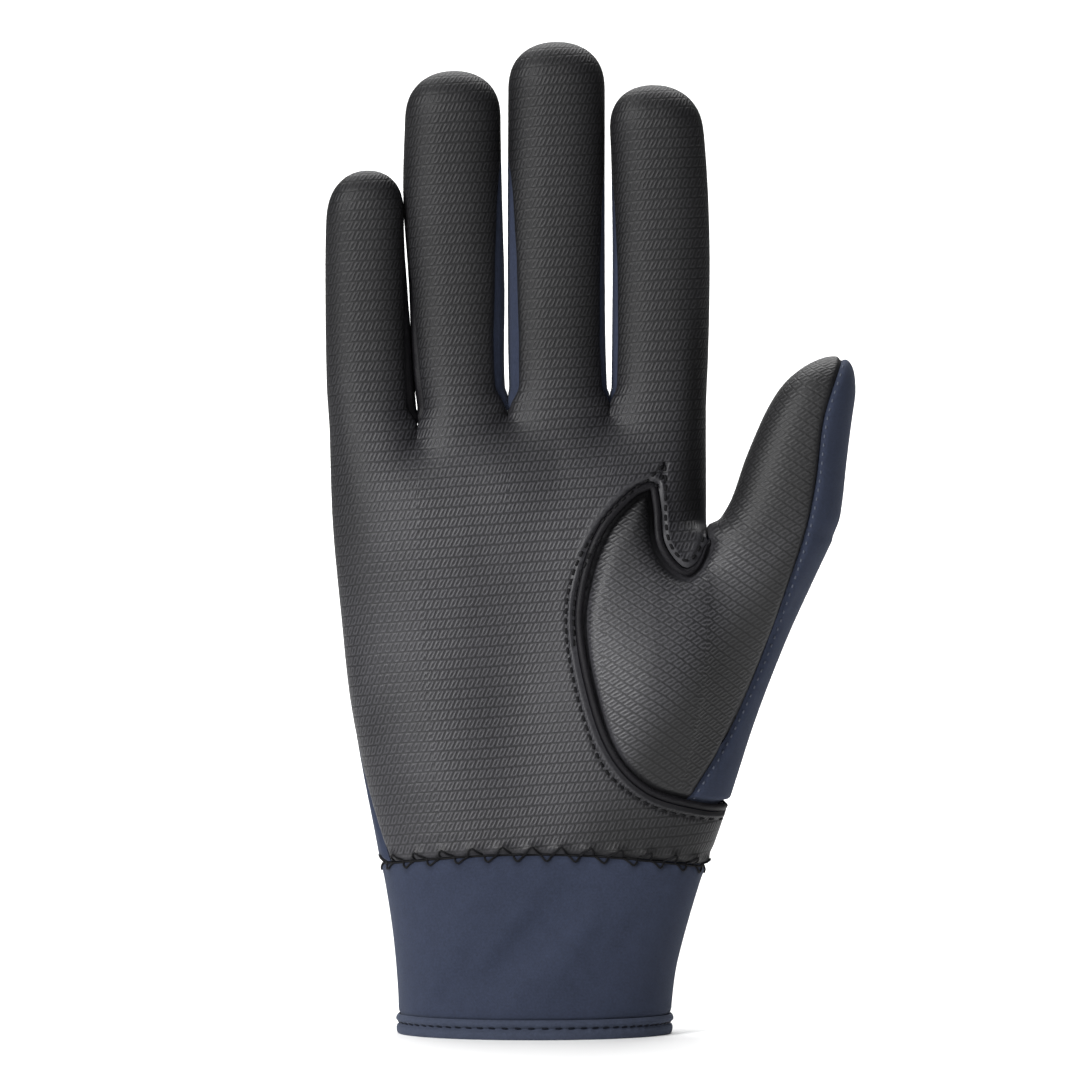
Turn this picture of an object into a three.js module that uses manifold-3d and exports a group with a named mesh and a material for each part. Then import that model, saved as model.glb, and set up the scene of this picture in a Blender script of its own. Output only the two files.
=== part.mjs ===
// Horse riding glove, right hand, kept in the form that it has when it is worn.
// Millimetres. +Z runs to the finger tips, the palm faces -Y, the thumb points to +X.
// The origin is the middle of the wrist opening.

import * as THREE from 'three';
import { mergeVertices } from 'three/addons/utils/BufferGeometryUtils.js';
import Module from 'manifold-3d';

const wasm = await Module();
wasm.setup();

// Overall sizes
const PALM_HEIGHT = 146.8;          // hem to the crotches of the middle finger
const PALM_WIDTH = 88.9;            // across the four fingers at their crotches
const PALM_DEPTH = 28;
const PALM_OFFSET = -4.05;          // middle of the palm to the middle of the wrist
const WRIST_WIDTH = 64.4;
const WRIST_DEPTH = 42;
const CUFF_HEIGHT = 42.9;           // hem to the top of the cuff seam
const CUFF_SEAM_SAG = 3.3;          // how far the cuff seam drops at the sides
const HEM_HEIGHT = 4.7;

// Fingers and thumb
const LITTLE_LENGTH = 60.6;
const RING_LENGTH = 78.7;
const MIDDLE_LENGTH = 85.5;
const INDEX_LENGTH = 75.4;
const LITTLE_DEPTH = 16.5;
const FINGER_DEPTH = 19;
const FINGER_GAP = 0.8;             // between the mid-depths of two neighbouring fingers
const FINGER_CURL = 5;              // how far the tips lean towards the palm side
const LITTLE_CROTCH_DROP = 5.2;
const TIP_DOME = 11.7;              // height of the rounded end of a finger
const WEB_RISE = 2.4;               // a crotch is this much higher inside than at its seams
const WEB_HALF_DEPTH = 6.4;
const THUMB_CROTCH_HEIGHT = 115.5;
const THUMB_LENGTH = 43.2;          // crotch to tip
const THUMB_BASE_WIDTH = 29.3;
const THUMB_DEPTH = 23;
const THUMB_FORWARD = 7;            // how far the thumb lies in front of the fingers
const THUMB_WEB_HALF_DEPTH = 8.5;
const THENAR_BULGE = 5.5;
const PALM_HOLLOW = 1.6;

// Thumb hole, seams and walls
const HOLE_WIDTH = 34.2;
const HOLE_HEIGHT = 73.6;
const ROLL_WIDTH = 1.2;
const ROLL_PROUD = 0.5;
const LEATHER_WALL = 1.2;
const FABRIC_WALL = 1.1;
const HEM_WALL = 2.2;
const HEM_PROUD = 0.5;
const CUFF_INSET = 0.3;             // the cuff lies this much lower than the leather
const FOLD_DEPTH = 0.9;             // deepest of the soft folds in the cuff
const SEAM_GAP = 0.3;
const STRIP_HALF_DEPTH = 6.3;       // half of a fourchette strip at its widest
const STRIP_SHARE = 0.72;           // the other two strips, against the ring and middle one
const STRIP_TIP_MARGIN = 20;        // a strip ends this far below the shorter finger tip
const BACK_SEAM = 4;                // the side seams lie this far behind the middle
const SIDE_SEAM_FRONT = 8;          // the little finger's side seam comes this far forward

// Fineness of the skin
const FRONT_STEPS = 4;
const SIDE_STEPS = 3;
const CORNER_SHARE = 0.6;           // depth share where a front face turns into a side
const SECTION_POWER = 2.4;          // of the superellipses that the fingers have as sections
const DOME_POWER = 2.6;
const DOME_ROUND_POWER = 2.1;

const BEYOND = 2 * (PALM_HEIGHT + MIDDLE_LENGTH);
const PALM_LEFT = PALM_OFFSET - PALM_WIDTH / 2;
const PALM_RIGHT = PALM_OFFSET + PALM_WIDTH / 2;
const LITTLE_CROTCH_HEIGHT = PALM_HEIGHT - LITTLE_CROTCH_DROP;

const mix = (a, b, t) => a + (b - a) * t;
const clamp = (value) => Math.min(1, Math.max(0, value));
const smooth = (value) => clamp(value) ** 2 * (3 - 2 * clamp(value));

// A smooth curve through the rows of a table: value of a column at a place along its key
function along(rows, key, place, column) {
  const last = rows.length - 1;
  if (place <= rows[0][key]) return rows[0][column];
  if (place >= rows[last][key]) return rows[last][column];
  const slope = (i) => {
    const before = rows[Math.max(0, i - 1)];
    const after = rows[Math.min(last, i + 1)];
    return (after[column] - before[column]) / (after[key] - before[key]);
  };
  const i = rows.findIndex((row) => row[key] > place) - 1;
  const step = rows[i + 1][key] - rows[i][key];
  const t = (place - rows[i][key]) / step;
  return rows[i][column] * (1 + 2 * t) * (1 - t) ** 2
    + slope(i) * step * t * (1 - t) ** 2
    + rows[i + 1][column] * t * t * (3 - 2 * t)
    + slope(i + 1) * step * t * t * (t - 1);
}

// Little-finger side of the hand: share of the way from the wrist out to the palm's edge
const LEFT_EDGE = [
  { rise: 0, out: 0 },
  { rise: 0.07, out: 0.01 },
  { rise: 0.18, out: 0.1 },
  { rise: 0.31, out: 0.29 },
  { rise: 0.44, out: 0.51 },
  { rise: 0.56, out: 0.69 },
  { rise: 0.69, out: 0.81 },
  { rise: 0.85, out: 0.94 },
  { rise: 1, out: 1 },
];

// Thumb side below its crotch: share of the way from the wrist out to the thumb's edge
const RIGHT_EDGE = [
  { rise: 0, out: 0 },
  { rise: 0.07, out: 0.013 },
  { rise: 0.15, out: 0.05 },
  { rise: 0.31, out: 0.19 },
  { rise: 0.47, out: 0.36 },
  { rise: 0.64, out: 0.53 },
  { rise: 0.8, out: 0.72 },
  { rise: 0.92, out: 0.885 },
  { rise: 1, out: 1 },
];

// Body between wrist and thumb crotch: half-depths as shares of the palm's depth
const BODY_SECTIONS = [
  { rise: 0, front: 0.5, back: 0.5, wrist: 1, power: 2.05 },
  { rise: 0.2, front: 0.56, back: 0.52, wrist: 0.55, power: 2.2 },
  { rise: 0.38, front: 0.6, back: 0.51, wrist: 0.15, power: 2.4 },
  { rise: 0.6, front: 0.59, back: 0.5, wrist: 0, power: 2.5 },
  { rise: 0.8, front: 0.55, back: 0.49, wrist: 0, power: 2.6 },
  { rise: 1, front: 0.51, back: 0.47, wrist: 0, power: 2.6 },
];

// Palm between thumb crotch and finger crotches, shares of the palm's depth
const PALM_SECTIONS = [
  { rise: 0, front: 0.55, back: 0.5 },
  { rise: 0.78, front: 0.51, back: 0.47 },
  { rise: 1, front: 0.41, back: 0.39 },
];

// Columns of the hand from left to right. pitch is the share of the palm's width.
// Shape rows run from crotch to tip: lean and wide are shares of the pitch,
// deep is the share of the finger's depth.
const FINGERS = [
  {
    name: 'little', pitch: 0.237, length: LITTLE_LENGTH, depth: LITTLE_DEPTH,
    crotch: LITTLE_CROTCH_HEIGHT,
    shape: [
      { rise: 0, lean: 0, wide: 1, deep: 1.13 },
      { rise: 0.17, lean: -0.036, wide: 0.995, deep: 1.08 },
      { rise: 0.55, lean: -0.073, wide: 0.948, deep: 1 },
      { rise: 0.8, lean: -0.083, wide: 0.905, deep: 0.96 },
      { rise: 1, lean: -0.045, wide: 0.89, deep: 0.93 },
    ],
  },
  {
    name: 'ring', pitch: 0.238, length: RING_LENGTH, depth: FINGER_DEPTH,
    crotch: PALM_HEIGHT,
    shape: [
      { rise: 0, lean: 0, wide: 1, deep: 1.1 },
      { rise: 0.13, lean: -0.04, wide: 1.04, deep: 1.05 },
      { rise: 0.355, lean: -0.063, wide: 1.095, deep: 1 },
      { rise: 0.62, lean: -0.11, wide: 1.137, deep: 1 },
      { rise: 0.854, lean: -0.108, wide: 1.1, deep: 0.97 },
      { rise: 1, lean: -0.09, wide: 1.08, deep: 0.95 },
    ],
  },
  {
    name: 'middle', pitch: 0.269, length: MIDDLE_LENGTH, depth: FINGER_DEPTH,
    crotch: PALM_HEIGHT,
    shape: [
      { rise: 0, lean: 0, wide: 1, deep: 1.1 },
      { rise: 0.19, lean: -0.019, wide: 0.993, deep: 1.04 },
      { rise: 0.5, lean: -0.024, wide: 0.988, deep: 1 },
      { rise: 0.8, lean: -0.022, wide: 0.984, deep: 0.98 },
      { rise: 1, lean: -0.02, wide: 0.978, deep: 0.95 },
    ],
  },
  {
    name: 'index', pitch: 0.256, length: INDEX_LENGTH, depth: FINGER_DEPTH,
    crotch: PALM_HEIGHT,
    shape: [
      { rise: 0, lean: 0.006, wide: 1.015, deep: 1.1 },
      { rise: 0.215, lean: 0.024, wide: 1.035, deep: 1.04 },
      { rise: 0.46, lean: 0.032, wide: 1.04, deep: 1 },
      { rise: 0.65, lean: 0.02, wide: 1.03, deep: 1 },
      { rise: 0.8, lean: -0.002, wide: 1.01, deep: 0.97 },
      { rise: 1, lean: -0.053, wide: 0.985, deep: 0.95 },
    ],
  },
];

// Thumb from crotch to tip: both edges as shares of its base width
const THUMB_SHAPE = [
  { rise: -1.3, left: 0, right: 1, deep: 1.25, ahead: 0.1 },
  { rise: -0.4, left: 0, right: 1, deep: 1.2, ahead: 0.4 },
  { rise: 0, left: 0, right: 1, deep: 1.12, ahead: 0.6 },
  { rise: 0.11, left: 0.105, right: 1.055, deep: 1.09, ahead: 0.66 },
  { rise: 0.22, left: 0.195, right: 1.082, deep: 1.05, ahead: 0.72 },
  { rise: 0.44, left: 0.305, right: 1.115, deep: 1, ahead: 0.82 },
  { rise: 0.66, left: 0.44, right: 1.155, deep: 0.96, ahead: 0.92 },
  { rise: 0.77, left: 0.525, right: 1.18, deep: 0.92, ahead: 0.96 },
  { rise: 0.88, left: 0.62, right: 1.21, deep: 0.87, ahead: 0.99 },
  { rise: 1, left: 0.75, right: 1.275, deep: 0.8, ahead: 1 },
];

// Swellings of the palm side: places are shares of the palm's width and height
const SWELLINGS = [
  { across: 0.83, up: 0.6, wide: 0.19, tall: 0.2, out: THENAR_BULGE },
  { across: 0.3, up: 0.45, wide: 0.2, tall: 0.2, out: THENAR_BULGE * 0.25 },
  { across: 0.5, up: 0.56, wide: 0.13, tall: 0.2, out: -PALM_HOLLOW },
  { across: 0.5, up: 0.86, wide: 0.6, tall: 0.08, out: THENAR_BULGE * 0.12 },
];

// Soft slanting folds of the cuff: across and up as shares of wrist width and cuff height,
// lean is rise over run, side is -1 on the palm side and 1 on the back
const FOLDS = [
  { across: 0.02, up: 0.62, lean: 1.1, long: 0.4, wide: 0.09, deep: 1, side: -1 },
  { across: -0.2, up: 0.34, lean: 0.7, long: 0.3, wide: 0.08, deep: 0.8, side: -1 },
  { across: 0.3, up: 0.5, lean: 1.6, long: 0.3, wide: 0.08, deep: 0.7, side: -1 },
  { across: 0.1, up: 0.55, lean: -0.9, long: 0.4, wide: 0.09, deep: 0.9, side: 1 },
  { across: -0.22, up: 0.6, lean: -1.3, long: 0.3, wide: 0.08, deep: 0.7, side: 1 },
];

// Lines between neighbouring columns, and the crotches that they end in
const WRIST_LINES = [-0.26, -0.06, 0.14, 0.31];
const CROTCHES = WRIST_LINES.map((wristShare, i) => {
  const pitches = FINGERS.slice(0, i + 1).reduce((sum, finger) => sum + finger.pitch, 0);
  const isThumb = i === FINGERS.length - 1;
  return {
    wrist: wristShare * WRIST_WIDTH,
    across: isThumb ? PALM_RIGHT : PALM_LEFT + pitches * PALM_WIDTH,
    height: isThumb ? THUMB_CROTCH_HEIGHT : i === 0 ? LITTLE_CROTCH_HEIGHT : PALM_HEIGHT,
    halfDepth: isThumb ? THUMB_WEB_HALF_DEPTH : WEB_HALF_DEPTH,
    ahead: isThumb ? THUMB_FORWARD * 0.35 : 0,
  };
});
const THUMB = FINGERS.length;
const THUMB_LINE = CROTCHES[THUMB - 1];
const lineAt = (crotch, z) => mix(crotch.wrist, crotch.across, smooth(0.5 + z / crotch.height / 2) * 2 - 1);

function leftEdge(z) {
  return mix(-WRIST_WIDTH / 2, PALM_LEFT, along(LEFT_EDGE, 'rise', z / LITTLE_CROTCH_HEIGHT, 'out'));
}

function rightEdge(z) {
  const out = along(RIGHT_EDGE, 'rise', z / THUMB_CROTCH_HEIGHT, 'out');
  return mix(WRIST_WIDTH / 2, PALM_RIGHT + THUMB_BASE_WIDTH, out);
}

function makeSection(left, right, front, back, power, middle) {
  return { centre: (left + right) / 2, half: (right - left) / 2, front, back, power, middle };
}

function wholeSection(z) {
  const rise = z / THUMB_CROTCH_HEIGHT;
  const row = (column) => along(BODY_SECTIONS, 'rise', rise, column);
  const depth = mix(PALM_DEPTH, WRIST_DEPTH, row('wrist'));
  return makeSection(leftEdge(z), rightEdge(z), row('front') * depth, row('back') * depth,
    row('power'), 0);
}

function palmSection(z) {
  const rise = (z - THUMB_CROTCH_HEIGHT) / (PALM_HEIGHT - THUMB_CROTCH_HEIGHT);
  const row = (column) => along(PALM_SECTIONS, 'rise', rise, column) * PALM_DEPTH;
  const right = z < THUMB_LINE.height ? lineAt(THUMB_LINE, z) : PALM_RIGHT;
  return makeSection(leftEdge(z), right, row('front'), row('back'), 2.6, 0);
}

function dome(below) {
  return (1 - (1 - clamp(below / TIP_DOME)) ** DOME_POWER) ** (1 / DOME_ROUND_POWER);
}

function thumbSection(z) {
  const rise = (z - THUMB_CROTCH_HEIGHT) / THUMB_LENGTH;
  const row = (column) => along(THUMB_SHAPE, 'rise', rise, column);
  const below = z < THUMB_LINE.height;
  const left = below ? lineAt(THUMB_LINE, z) : PALM_RIGHT + row('left') * THUMB_BASE_WIDTH;
  const right = below ? rightEdge(z) : PALM_RIGHT + row('right') * THUMB_BASE_WIDTH;
  const round = dome(THUMB_CROTCH_HEIGHT + THUMB_LENGTH - z);
  const middle = (left + right) / 2;
  const half = (right - left) / 2 * round;
  const depth = row('deep') * THUMB_DEPTH / 2 * round;
  return makeSection(middle - half, middle + half, depth, depth, SECTION_POWER,
    -THUMB_FORWARD * row('ahead'));
}

function fingerSection(i, z) {
  const finger = FINGERS[i];
  const rise = (z - finger.crotch) / finger.length;
  const row = (column) => along(finger.shape, 'rise', rise, column);
  const pitch = finger.pitch * PALM_WIDTH;
  const left = i === 0 ? leftEdge(z) : lineAt(CROTCHES[i - 1], z);
  const right = i === THUMB - 1 && z > THUMB_LINE.height
    ? PALM_RIGHT : lineAt(CROTCHES[i], z);
  const round = dome(finger.crotch + finger.length - z);
  const middle = (left + right) / 2 + row('lean') * pitch;
  const half = ((right - left) * row('wide') - FINGER_GAP) / 2 * round;
  const depth = row('deep') * finger.depth / 2 * round;
  const curl = -FINGER_CURL * Math.max(0, rise) ** 2;
  return makeSection(middle - half, middle + half, depth, depth, SECTION_POWER, curl);
}

// A point of a section's side: turn runs from -1 at the front corner to 1 at the back one
function sidePoint(section, side, turn) {
  const widest = Math.asin(CORNER_SHARE ** (section.power / 2));
  const angle = turn * widest;
  const depth = turn < 0 ? section.front : section.back;
  return {
    x: section.centre + side * section.half * Math.cos(angle) ** (2 / section.power),
    y: section.middle + depth * Math.sign(turn) * Math.abs(Math.sin(angle)) ** (2 / section.power),
  };
}

// A point of a section's palm face (face -1) or back face (face 1) at x
function facePoint(section, face, x) {
  const share = section.half > 0 ? Math.min(1, Math.abs(x - section.centre) / section.half) : 1;
  const depth = face < 0 ? section.front : section.back;
  return { x, y: section.middle + face * depth * (1 - share ** section.power) ** (1 / section.power) };
}

const mixPoints = (a, b, t) => ({ x: mix(a.x, b.x, t), y: mix(a.y, b.y, t) });

// Where the skin is drawn to the web at a crotch, and how strongly at this height.
// The pull ends this many web rises above the crotch.
const WEB_REACH_SHARE = 2.2;
const webPoint = (crotch, z, face) => ({
  x: lineAt(crotch, z),
  y: -crotch.ahead + face * crotch.halfDepth,
});
const webHold = (crotch, z) => 1 - smooth((z - crotch.height) / (WEB_REACH_SHARE * WEB_RISE));

// Weights of the finer shapes: 0 where the hand is one body, 1 where its members part.
// The parting lines keep the plain body's form longer than the middles do.
const THUMB_BLEND = THUMB_CROTCH_HEIGHT * 0.39;
const FINGER_BLEND = PALM_HEIGHT * 0.286;
const LINE_BLEND = PALM_WIDTH * 0.169;
const lineWeight = (crotch, z) => smooth((z - crotch.height) / LINE_BLEND + 1);

function thumbWeight(x, z) {
  const middle = smooth((z - THUMB_LINE.height) / THUMB_BLEND + 1);
  const near = Math.max(0, 1 - Math.abs(x - lineAt(THUMB_LINE, z)) / LINE_BLEND) ** 2;
  return mix(middle, lineWeight(THUMB_LINE, z), near);
}

function fingerWeight(i, share, z) {
  const middle = smooth((z - PALM_HEIGHT - LINE_BLEND / 3) / FINGER_BLEND + 1);
  const left = i === 0 ? middle : lineWeight(CROTCHES[i - 1], z);
  const right = i === THUMB - 1
    ? smooth((z - THUMB_LINE.height) / (PALM_HEIGHT - THUMB_LINE.height))
    : lineWeight(CROTCHES[i], z);
  const edge = share < 0.5 ? left : right;
  return mix(middle, edge, (1 - 2 * Math.min(share, 1 - share)) ** 2);
}

// Face of one section between two x limits, drawn to the webs at its ends where asked
function heldFace(section, face, share, z, limits) {
  const cornerAt = (side) => sidePoint(section, side, face);
  const start = limits.from ?? cornerAt(-1).x;
  const end = limits.to ?? cornerAt(1).x;
  const point = facePoint(section, face, mix(start, end, share));
  const pull = (crotch, side, nearness) => {
    const hold = webHold(crotch, z) * nearness ** 4;
    const corner = cornerAt(side);
    const web = webPoint(crotch, z, face);
    point.x += (web.x - corner.x) * hold;
    point.y += (web.y - corner.y) * hold;
  };
  if (limits.leftWeb) pull(limits.leftWeb, -1, 1 - share);
  if (limits.rightWeb) pull(limits.rightWeb, 1, share);
  return point;
}

// Point of column i on the palm or back face. share runs from its left to its right edge.
function columnFace(i, face, share, z) {
  const line = (k) => lineAt(CROTCHES[k], z);
  const isThumb = i === THUMB;
  if (isThumb && z >= THUMB_LINE.height) {
    return heldFace(thumbSection(z), face, share, z, { leftWeb: THUMB_LINE });
  }
  const limits = { from: i > 0 ? line(i - 1) : undefined, to: isThumb ? undefined : line(i) };
  const whole = z < THUMB_LINE.height ? heldFace(wholeSection(z), face, share, z, limits) : null;
  if (isThumb) {
    const held = heldFace(thumbSection(z), face, share, z, { leftWeb: THUMB_LINE });
    return mixPoints(whole, held, thumbWeight(whole.x, z));
  }
  const isLast = i === THUMB - 1;
  const palmLimits = {
    from: limits.from,
    to: isLast ? undefined : limits.to,
    rightWeb: isLast ? THUMB_LINE : undefined,
  };
  let palm = heldFace(palmSection(Math.min(z, PALM_HEIGHT)), face, share, z, palmLimits);
  if (whole) palm = mixPoints(whole, palm, thumbWeight(whole.x, z));
  const finger = heldFace(fingerSection(i, z), face, share, z, {
    leftWeb: CROTCHES[i - 1],
    rightWeb: CROTCHES[i],
  });
  return mixPoints(palm, finger, fingerWeight(i, share, z));
}

// Point of a free side. side is -1 or 1, turn runs from -1 at the front to 1 at the back.
function columnSide(i, side, turn, z) {
  const crotch = side < 0 ? CROTCHES[i - 1] : CROTCHES[i];
  const isThumb = i === THUMB;
  let point;
  if (isThumb || (i === 0 && side < 0)) {
    const fine = isThumb ? thumbSection(z) : palmSection(Math.min(z, PALM_HEIGHT));
    point = sidePoint(fine, side, turn);
    if (z < THUMB_LINE.height) {
      const whole = sidePoint(wholeSection(z), side, turn);
      point = mixPoints(whole, point, thumbWeight(whole.x, z));
    }
  } else if (i === THUMB - 1 && side > 0) {
    point = sidePoint(palmSection(Math.min(z, PALM_HEIGHT)), side, turn);
  }
  if (!isThumb) {
    const finger = sidePoint(fingerSection(i, z), side, turn);
    const weight = fingerWeight(i, side < 0 ? 0 : 1, z);
    point = point ? mixPoints(point, finger, weight) : finger;
  }
  let height = z;
  if (crotch && z >= crotch.height) {
    const section = isThumb ? thumbSection(z) : fingerSection(i, z);
    const reach = CORNER_SHARE * (turn < 0 ? section.front : section.back);
    const share = reach > 0 ? (sidePoint(section, side, turn).y - section.middle) / reach : turn;
    const hold = webHold(crotch, z);
    const web = webPoint(crotch, z, 1);
    point = {
      x: mix(point.x, web.x, hold),
      y: mix(point.y, -crotch.ahead + share * crotch.halfDepth, hold),
    };
    height += WEB_RISE * (1 - share * share) * hold;
  }
  return { x: point.x, y: point.y, z: height };
}

// Swellings of the palm side and folds of the cuff, laid over the plain form
function relief(point, z) {
  const result = { ...point };
  const face = point.y < 0 ? -1 : 1;
  const onPalm = smooth(2 * Math.abs(point.y) / PALM_DEPTH);
  const onCuff = smooth(2 * Math.abs(point.y) / WRIST_DEPTH);
  if (face < 0) {
    for (const swelling of SWELLINGS) {
      const dx = (point.x - PALM_LEFT) / PALM_WIDTH - swelling.across;
      const dz = z / PALM_HEIGHT - swelling.up;
      const bell = Math.exp(-((dx / swelling.wide) ** 2) - (dz / swelling.tall) ** 2);
      result.y -= swelling.out * bell * onPalm;
    }
  }
  for (const fold of FOLDS.filter((row) => row.side === face)) {
    const dx = point.x / WRIST_WIDTH - fold.across;
    const dz = (z / CUFF_HEIGHT - fold.up) * (CUFF_HEIGHT / WRIST_WIDTH);
    const length = Math.hypot(1, fold.lean);
    const offLine = (dz - fold.lean * dx) / length;
    const onLine = (dx + fold.lean * dz) / length;
    const bell = Math.exp(-((offLine / fold.wide) ** 2) - (onLine / fold.long) ** 2);
    const inCuff = smooth((z - HEM_HEIGHT) / HEM_HEIGHT);
    result.y -= face * FOLD_DEPTH * fold.deep * bell * onCuff * inCuff;
  }
  return result;
}

// Heights of the rows of points
const BODY_ROWS = [0.13, 0.22, 0.31, 0.4, 0.51, 0.62, 0.73, 0.83, 0.92];
const DOME_ROWS = [1, 0.64, 0.36, 0.16, 0.04, 0];
const ABOVE_WEB = [0.8, WEB_REACH_SHARE];
const EXTRA_BELOW = HEM_HEIGHT;

function memberRows(crotch, length) {
  const webRows = ABOVE_WEB.map((share) => crotch + share * WEB_RISE);
  const domeStart = crotch + length - TIP_DOME;
  const first = webRows[webRows.length - 1];
  const spans = Math.max(1, Math.round((domeStart - first) / (TIP_DOME * 1.1)));
  const shaft = Array.from({ length: spans - 1 }, (_, k) => mix(first, domeStart, (k + 1) / spans));
  const tip = DOME_ROWS.map((share) => crotch + length - share * TIP_DOME);
  return [...webRows, ...shaft, ...tip];
}

const STEM_ROWS = [
  -EXTRA_BELOW, HEM_HEIGHT,
  ...BODY_ROWS.map((share) => share * THUMB_CROTCH_HEIGHT),
  THUMB_CROTCH_HEIGHT,
];
const UPPER_ROWS = [0.35, 0.7].map((share) => mix(THUMB_CROTCH_HEIGHT, LITTLE_CROTCH_HEIGHT, share));

function columnRows(i) {
  if (i === THUMB) return [...STEM_ROWS, ...memberRows(THUMB_CROTCH_HEIGHT, THUMB_LENGTH)];
  const { crotch, length } = FINGERS[i];
  const shared = [...STEM_ROWS, ...UPPER_ROWS, LITTLE_CROTCH_HEIGHT];
  if (i > 0) shared.push(PALM_HEIGHT);
  return [...shared, ...memberRows(crotch, length)];
}

// The skin of the whole hand as one sheet, open at the wrist, each point with its normal
function makeSkin() {
  const positions = [];
  const quads = [];
  const addPoint = (p) => {
    positions.push(p.x, p.y, p.z);
    return positions.length / 3 - 1;
  };
  const addStrip = (points, rows) => {
    const grid = rows.map((z) => points.map((at) => addPoint(at(z))));
    for (let j = 0; j + 1 < rows.length; j += 1) {
      for (let k = 0; k + 1 < points.length; k += 1) {
        quads.push([grid[j][k], grid[j][k + 1], grid[j + 1][k + 1], grid[j + 1][k]]);
      }
    }
  };
  const lifted = (flat, z) => ({ ...relief(flat, z), z });
  for (let i = 0; i <= THUMB; i += 1) {
    const rows = columnRows(i);
    for (const face of [-1, 1]) {
      const points = Array.from({ length: FRONT_STEPS + 1 }, (_, k) => {
        const share = face < 0 ? k / FRONT_STEPS : 1 - k / FRONT_STEPS;
        return (z) => lifted(columnFace(i, face, share, z), z);
      });
      addStrip(points, rows);
    }
    for (const side of [-1, 1]) {
      const crotch = side < 0 ? CROTCHES[i - 1] : CROTCHES[i];
      const sideRows = rows.filter((z) => !crotch || z >= crotch.height - 1e-6);
      const points = Array.from({ length: SIDE_STEPS + 1 }, (_, k) => {
        const turn = side * (2 * k / SIDE_STEPS - 1);
        return (z) => {
          const p = columnSide(i, side, turn, z);
          return { ...relief(p, z), z: p.z };
        };
      });
      addStrip(points, sideRows);
    }
  }
  const triangles = quads.flatMap(([a, b, c, d]) => [a, b, c, a, c, d]);
  const geometry = new THREE.BufferGeometry();
  geometry.setAttribute('position', new THREE.Float32BufferAttribute(positions, 3));
  geometry.setIndex(triangles);
  const merged = mergeVertices(geometry, 1e-3);
  const index = Array.from(merged.index.array);
  const kept = [];
  for (let t = 0; t < index.length; t += 3) {
    const [a, b, c] = index.slice(t, t + 3);
    if (a !== b && b !== c && c !== a) kept.push(a, b, c);
  }
  merged.setIndex(kept);
  merged.computeVertexNormals();
  return merged;
}

const SKIN = makeSkin();

// The skin moved along its normals by an offset and closed with a flat floor
function skinSolid(offset, deeper) {
  const place = SKIN.attributes.position;
  const normal = SKIN.attributes.normal;
  const positions = [];
  const rim = -EXTRA_BELOW;
  for (let k = 0; k < place.count; k += 1) {
    const onRim = Math.abs(place.getZ(k) - rim) < 1e-3;
    positions.push(
      place.getX(k) + normal.getX(k) * offset,
      place.getY(k) + normal.getY(k) * offset,
      onRim ? rim - deeper : place.getZ(k) + normal.getZ(k) * offset,
    );
  }
  const index = Array.from(SKIN.index.array);
  const centre = place.count;
  positions.push(0, 0, rim - deeper);
  for (let t = 0; t < SKIN.index.count; t += 3) {
    for (let k = 0; k < 3; k += 1) {
      const a = index[t + k];
      const b = index[t + (k + 1) % 3];
      const bothOnRim = [a, b].every((v) => Math.abs(place.getZ(v) - rim) < 1e-3);
      if (bothOnRim) index.push(b, a, centre);
    }
  }
  const geometry = new THREE.BufferGeometry();
  geometry.setAttribute('position', new THREE.Float32BufferAttribute(positions, 3));
  geometry.setIndex(index);
  return toSolid(geometry);
}

function toSolid(geometry) {
  const bare = geometry.clone();
  bare.deleteAttribute('normal');
  bare.deleteAttribute('uv');
  const merged = mergeVertices(bare, 1e-4);
  return new wasm.Manifold(new wasm.Mesh({
    numProp: 3,
    vertProperties: new Float32Array(merged.attributes.position.array),
    triVerts: new Uint32Array(merged.index.array),
  }));
}

// A wall between two offsets from the skin
function makeWall(proud, thickness) {
  return skinSolid(proud, 0).subtract(skinSolid(proud - thickness, HEM_HEIGHT));
}

// An outline in x and z, drawn through the glove from one y to another
function throughDepth(outline, from, to) {
  const shape = new THREE.Shape(outline.map(([x, z]) => new THREE.Vector2(x, z)));
  const geometry = new THREE.ExtrudeGeometry(shape, { depth: to - from, bevelEnabled: false });
  geometry.rotateX(Math.PI / 2);
  geometry.translate(0, to, 0);
  return toSolid(geometry);
}

// An outline in y and z, drawn across the glove from one x to another
function throughWidth(outline, from, to) {
  const shape = new THREE.Shape(outline.map(([y, z]) => new THREE.Vector2(y, z)));
  const geometry = new THREE.ExtrudeGeometry(shape, { depth: to - from, bevelEnabled: false });
  geometry.applyMatrix4(new THREE.Matrix4().makeBasis(
    new THREE.Vector3(0, 1, 0),
    new THREE.Vector3(0, 0, 1),
    new THREE.Vector3(1, 0, 0),
  ));
  geometry.translate(from, 0, 0);
  return toSolid(geometry);
}

// A line of points moved sideways, to its left as it runs, with mitred bends
function beside(points, distance) {
  const directions = points.slice(1).map(([x, z], k) => {
    const [px, pz] = points[k];
    const length = Math.hypot(x - px, z - pz);
    return [(x - px) / length, (z - pz) / length];
  });
  return points.map(([x, z], k) => {
    const before = directions[Math.max(0, k - 1)];
    const after = directions[Math.min(directions.length - 1, k)];
    const sum = [before[0] + after[0], before[1] + after[1]];
    const length = Math.hypot(...sum);
    const cosine = (before[0] * sum[0] + before[1] * sum[1]) / length;
    const reach = distance / Math.max(cosine, 0.5) / length;
    return [x - sum[1] * reach, z + sum[0] * reach];
  });
}

function smoothLine(points, steps) {
  const curve = new THREE.CatmullRomCurve3(
    points.map(([x, z]) => new THREE.Vector3(x, z, 0)), false, 'centripetal');
  return curve.getPoints(steps).map((p) => [p.x, p.y]);
}

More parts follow.
